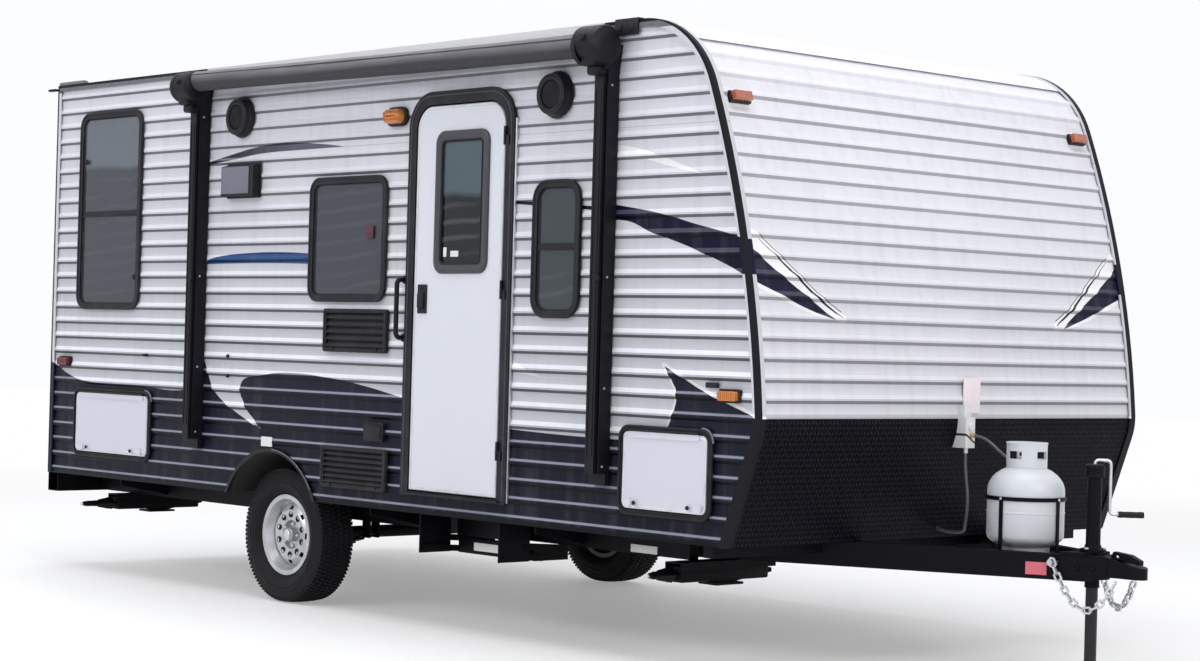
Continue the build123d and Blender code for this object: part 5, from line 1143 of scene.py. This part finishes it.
def edge_screws():
    """Screws along the corner mouldings and the roof's edges."""
    places = []
    for side in (-1, 1):
        places += [(at(x, side * (HALF_W + 6), 2583), facing_out(side)) for x in range(120, 4560, 300)]
        places += [(at(13, side * (HALF_W + 6), z), facing_out(side)) for z in range(600, 2560, 300)]
    repeated("trim_screws", one_lathe(SCREW, 8), places, "trim_dark")
    places = [(at(-6, y, z), TO_REAR) for y in (-1206, 1206) for z in range(600, 2560, 240)]
    places += [(at(x, y, 2602), UPRIGHT) for y in (-1206, 1206) for x in range(150, 4560, 240)]
    repeated("trim_screws_rear", one_lathe(SCREW, 8), places, "trim_dark")


def roof_details():
    """Lids, flanges, seams and sealant on the roof."""
    for k, x in enumerate((1150, 3350)):
        boxes(f"roof_vent_lid_{k}", [(x - 214, x + 214, -214, 214, 2609, 2618)]
            + [(x - 150 + 75 * j, x - 138 + 75 * j, -140, 140, 2660, 2667.5) for j in range(5)], "vent_white",
            bevel=3)
        boxes(f"roof_vent_flange_{k}", [(x - 245, x + 245, -245, 245, 2594, 2600)], "roof_white", bevel=2.5)
    boxes("roof_seams", [(5, 4560, -1150, -1138, 2594, 2598), (5, 4560, 1138, 1150, 2594, 2598),
        (20, 60, -1180, 1180, 2594, 2598.5)], "vent_white", bevel=1.5)
    boxes("roof_corner_pieces", [(-2, 248, *sorted((side * 1190, side * 1222)), 2600, 2618)
        for side in (-1, 1)] + [(2, 236, *sorted((side * 1196, side * 1214)), 2617, 2621) for side in (-1, 1)],
        "rail_grey", bevel=4, segments=3)
    boxes("roof_edge_bracket", [(4436, 4571, -1236, -1224, 2540, 2608), (4436, 4571, -1232, -1196, 2598, 2609),
        (4456, 4478, -1241, -1235, 2556, 2584), (4530, 4552, -1241, -1235, 2556, 2584)], "frame_black", bevel=3)
    lathe("roof_drain_pipe", [(0, 52), (20, 52), (24, 48), (24, 0), (0, 0)], at(2300, 620, 2594), UP, "vent_white",
        steps=28)
    lathe("roof_drain_collar", [(24, 0), (60, 0), (60, 4), (30, 12), (24, 12)], at(2300, 620, 2596), UP, "vent_white",
        steps=28)


# ---------------------------------------------------------------- tongue
def collar_wall(bm, centre, r, thick, levels, is_open):
    """A ring wall with openings: is_open(angle, mid height) says which of its cells are left out."""
    heights, steps = range(len(levels)), 48
    rows = [[[bm.verts.new(centre + Vector((x, y, level * MM))) for x, y in circle(d * MM, steps)]
        for level in levels] for d in (r, r - thick)]

    def solid(k, j):
        if not 0 <= j < len(levels) - 1:
            return False
        return not is_open((k % steps + 0.5) * 360 / steps, (levels[j] + levels[j + 1]) / 2)

    outer, inner = rows
    for j in heights[:-1]:
        for k in range(steps):
            m = (k + 1) % steps
            if solid(k, j):
                bm.faces.new((outer[j][k], outer[j][m], outer[j + 1][m], outer[j + 1][k]))
                bm.faces.new((inner[j][m], inner[j][k], inner[j + 1][k], inner[j + 1][m]))
    for j in heights:
        for k in range(steps):
            m = (k + 1) % steps
            if solid(k, j) != solid(k, j - 1):
                bm.faces.new((outer[j][k], outer[j][m], inner[j][m], inner[j][k]))
            if j < len(levels) - 1 and solid(k, j) != solid(k - 1, j):
                bm.faces.new((outer[j][k], outer[j + 1][k], inner[j + 1][k], inner[j][k]))


def gas():
    """Gas cylinder with its valve, and the regulator's small parts."""
    c = at(TANK_X, 0, 0)
    # one steel shell: foot ring, rounded bottom, belly and shoulder; its pierced collar stands on it
    bm = bmesh.new()
    outline = [(0, 512), (90, 512), (94, 494.5), (99, 494.5), (101, 516), (118, 524), (138, 536), (150, 547),
        (155.4, 560), (155.6, 740), (154, 756), (148, 774), (137, 792), (122, 808), (100, 824), (84, 831), (70, 834),
        (0, 835)]
    add_lathe(bm, [(r * MM, h * MM) for r, h in outline], axes(c, UP), 72)
    hand_holes = ((90, 26, 870, 901), (270, 26, 870, 901), (0, 20, 870, 901), (180, 26, 840, 901))

    def is_open(angle, z):
        return any(abs((angle - mid + 180) % 360 - 180) < half and low < z < high
            for mid, half, low, high in hand_holes)

    collar_wall(bm, c, 82, 3.5, (831, 840, 870, 901, 929, 934), is_open)
    shell = mesh_piece("tank_shell", bm, "tank_white", smooth=40)
    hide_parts("gas_cylinder")
    lathe("tank_collar_rim", [(78, 930), (77.5, 934), (79, 937), (82.5, 937), (84.5, 934), (84, 930)], c, UP,
        "tank_white", steps=64)
    lathe("tank_weld", [(155.2, 651), (157.4, 653.5), (157.4, 658), (155.2, 660.5)], c, UP, "tank_white", steps=72)
    lathe("tank_valve", [(0, 826), (14, 826), (16, 838), (13, 842), (13, 868), (9, 872), (9, 884), (0, 884)], c, UP,
        "brass", steps=20)
    lathe("tank_knob", [(0, 22), (20, 21), (27, 17), (31, 10), (31, 2), (22, 0), (0, 0)],
        c + Vector((0, 0, 880 * MM)), UP, "seal_black", steps=10)
    lathe("tank_nut", [(0, -30), (11, -30), (13, -26), (13, -6), (11, 0), (0, 0)], at(TANK_X + 13, 0, 845), AHEAD,
        "brass", steps=6)
    boxes("tank_gauge", [(TANK_X - 12, TANK_X + 12, -34, -10, 846, 866)], "brass", bevel=4)
    for k, a in enumerate((0, 90, 180, 270)):
        d = Vector((cos(radians(a)), sin(radians(a)), 0))
        lathe(f"strap_bolt_{k}", stud(6, 3, 4, 5), at(TANK_X, 0, 712) + d * 0.1634, d, "zinc", steps=12)
    boxes("regulator_details", [(5283, 5322, -12, 28, 1002, 1018), (5316, 5330, -4, 22, 985, 1010),
        (5316, 5331, -16, -6, 950, 962)], "regulator_grey", bevel=4)
    lathe("regulator_cap", [(0, 0), (20, 0), (20, 6), (16, 10), (0, 11)], at(5330, 8, 985), AHEAD, "regulator_grey",
        steps=28)
    boxes("front_label", [(5279, 5284.5, 14, 122, 1040, 1186)], "label_rose", bevel=0.8)


def tongue():
    """Jack, coupler and stickers."""
    # jack: ribbed cap, clamp and its bolts, the crank's grip, leg collar and pad bolts
    c = at(JACK_X, 0, 0)
    lathe("jack_cap", [(0, 866), (30, 866), (37, 862), (39.5, 855), (39.5, 848), (38.4, 846), (38.4, 820),
        (39.5, 818), (39.5, 815), (36, 815), (36, 850), (0, 856)], c, UP, "chassis_black", steps=48)
    lathe("jack_clamp", [(29, 526), (52, 526), (52, 532), (34, 536), (32, 548), (29, 548)], c, UP, "chassis_black",
        steps=36)
    bolt = one_lathe(stud(9.5, 6, 8, 7.5), 6)
    repeated("jack_bolts", bolt, [(at(JACK_X + x, y, 531), UPRIGHT) for x, y in circle(42, 3, 0.25)], "zinc")
    turn = Matrix.Rotation(pi / 4, 4, "Z")
    grip_at = at(JACK_X, 0, 860 - 190) + turn @ Vector((0.092, 0, 0))
    lathe("jack_grip_ribs", [(11, 2), (13, 5), (12, 9), (13, 13), (12, 25), (12.6, 50), (12, 75), (13, 92), (12, 96),
        (13, 100), (11, 104), (6, 104.8), (0, 104.8), (0, 2)], grip_at, turn @ Vector((1, 0, 0)), "seal_black",
        steps=24)
    lathe("jack_leg_collar", [(24.1, 380), (30, 380), (30, 388), (24.1, 388)], c, UP, "chassis_black", steps=36)
    pad = one_lathe(stud(7, 3, 5, 5), 10)
    repeated("jack_pad_bolts", pad, [(at(JACK_X + 44 * cos(a), 44 * sin(a), 12), UPRIGHT)
        for a in (0.8, 2.4, 3.9, 5.5)], "zinc")
    # coupler: side bolts and latch rivets
    for side in (-1, 1):
        bolt = one_lathe(stud(11, 6, 9.5, 8), 6)
        spots = []
        for d in (100, 160):
            x = APEX_X - d * cos(RAIL_ANGLE)
            y = side * (d * sin(RAIL_ANGLE) + 30.5 / cos(RAIL_ANGLE))
            spots.append((at(x, y, 462), (side * -pi / 2, 0, side * -RAIL_ANGLE)))
        repeated("coupler_bolts_" + R_L[side], bolt, spots, "chassis_black")
    for name, side in (("coupler_rivet", -1), ("coupler_rivet_far", 1)):
        lathe(name, stud(7, 2, 4, 4), at(6090, side * 14, 510), (0, side, 0), "zinc", steps=14)
    # blank stickers on the tongue's right rail
    along_rail = Vector((cos(RAIL_ANGLE), sin(RAIL_ANGLE), 0))
    off_rail = Vector((sin(RAIL_ANGLE), -cos(RAIL_ANGLE), 0))
    for name, back, half, low, high, mat in (("rail_sticker", 0.340, 0.042, 0.424, 0.474, "label_pink"),
            ("rail_plate", 0.215, 0.028, 0.428, 0.452, "label")):
        base = at(APEX_X, 0, 0) - along_rail * back + off_rail * (25.9 * MM)
        bm = bmesh.new()
        bm.faces.new([bm.verts.new(base + along_rail * step + Vector((0, 0, height)))
            for step, height in ((-half, low), (half, low), (half, high), (-half, high))])
        mesh_piece(name, bm, mat, smooth=None)


def underneath():
    """U-bolts, brake drums, tape and pipes under the floor."""
    nuts = [(at(AXLE_X + dx, side * 860 + dy, 288), DOWN) for side in (-1, 1) for dx in (-44, 44) for dy in (-34, 34)]
    items = []
    for side in (-1, 1):
        items.append((2010, 2130, side * 860 - 42, side * 860 + 42, 262, 271))
        lathe("brake_drum_" + R_L[side], [(30, -74), (112, -74), (118, -70), (118, -34), (112, -30), (70, -30),
            (66, -38), (30, -38)], at(AXLE_X, side * HALF_TRACK, AXLE_Z), (0, side, 0), "chassis_black", steps=48)
    boxes("axle_plates", items, "chassis_black", bevel=2)
    bolt = one_lathe([(0, 0), (9, 0), (9, 10), (5.5, 10), (5.5, 26), (0, 26)], 8)
    repeated("axle_nuts", bolt, nuts, "zinc")
    tube("gas_pipe", [at(350, 640, 497), at(1400, 640, 497), at(2900, 652, 497), at(4300, 600, 497),
        at(4900, 560, 497)], 9, "chassis_black")
    tube("brake_wire", [at(4900, -540, 498), at(3800, -700, 498), at(2500, -760, 498), at(2130, -700, 470),
        at(2100, -560, 372)], 5, "seal_black")
    strap = one_box((30, 34, 3), 1)
    repeated("pipe_straps", strap, [(at(x, 642, 507.5), UPRIGHT) for x in range(700, 4300, 520)], "zinc")
    # screw threads and drive heads of the stabilisers
    for x in (330, 4640):
        for side in (-1, 1):
            tag = f"{x}_{R_L[side]}"
            profile = [(r, 4 * k + dh) for k in range(22) for r, dh in ((10.2, 0), (12.4, 1.4), (10.2, 2.8))]
            lathe("stabiliser_thread_" + tag, [(9, 0)] + profile + [(9, 86)], at(x, side * 1020, 359), (0, side, 0),
                "chassis_black", steps=16)
            cut = 44 if x > 4000 else 0
            lathe("stabiliser_head_" + tag, [(0, 0), (15, 0), (15, 60 - cut), (12, 84 - cut), (8, 92 - cut),
                (0, 92 - cut)], at(x, side * 1112, 359), (0, side, 0), "chassis_black", steps=8)
            lathe("stabiliser_tip_" + tag, stud(9, 8, 6, 11), at(x, side * (1203 - cut), 359), (0, side, 0), "zinc",
                steps=12)
            lathe("stabiliser_sleeve_" + tag, [(0, 0), (34, 0), (30, 30), (20, 86), (0, 86)], at(x, side * 1024, 359),
                (0, side, 0), "chassis_black", steps=4)
            boxes("stabiliser_guard_" + tag, [(x - 44, x + 44, *sorted((side * 500, side * 1010)), 326, 392)],
                "chassis_black", bevel=8)
    boxes("tread_grip", [(3240 + 26 * k, 3247 + 26 * k, -950, -782, 377.6, 380.6) for k in range(18)],
        "chassis_black", "step_tread", bevel=1)
    boxes("tread_edge", [(3206, 3724, -967.5, -963, 390, 400), (3206, 3724, -967.5, -963, 333, 339)], "zinc",
        "step_tread", bevel=1)
    boxes("step_riser", [(3240, 3690, -1000, -966, 334, 403), (3240, 3690, -1003, -1000, 340, 345),
        (3240, 3690, -1003, -1000, 392, 397)], "chassis_black", "step_tread", bevel=2)
    boxes("step_label", [(3352, 3590, -1002.4, -1000, 350, 386)], "label", "step_tread", bevel=0.6)
    boxes("step_back_plate", [(3236, 3694, -1006, -1000, 412, 508)], "chassis_black", bevel=2)
    boxes("rail_label", [(4248, 4408, -888, -885.5, 414, 447)], "label", bevel=0.6)


camera()
cords()
studio()
wheel(-1, "wheel_right")
wheel(1, "wheel_left")
windows()
window_marks()
arch_highlight_beads()
entry_door()
hatches()
awning()
side_fittings()
edge_screws()
roof_details()
gas()
tongue()
underneath()
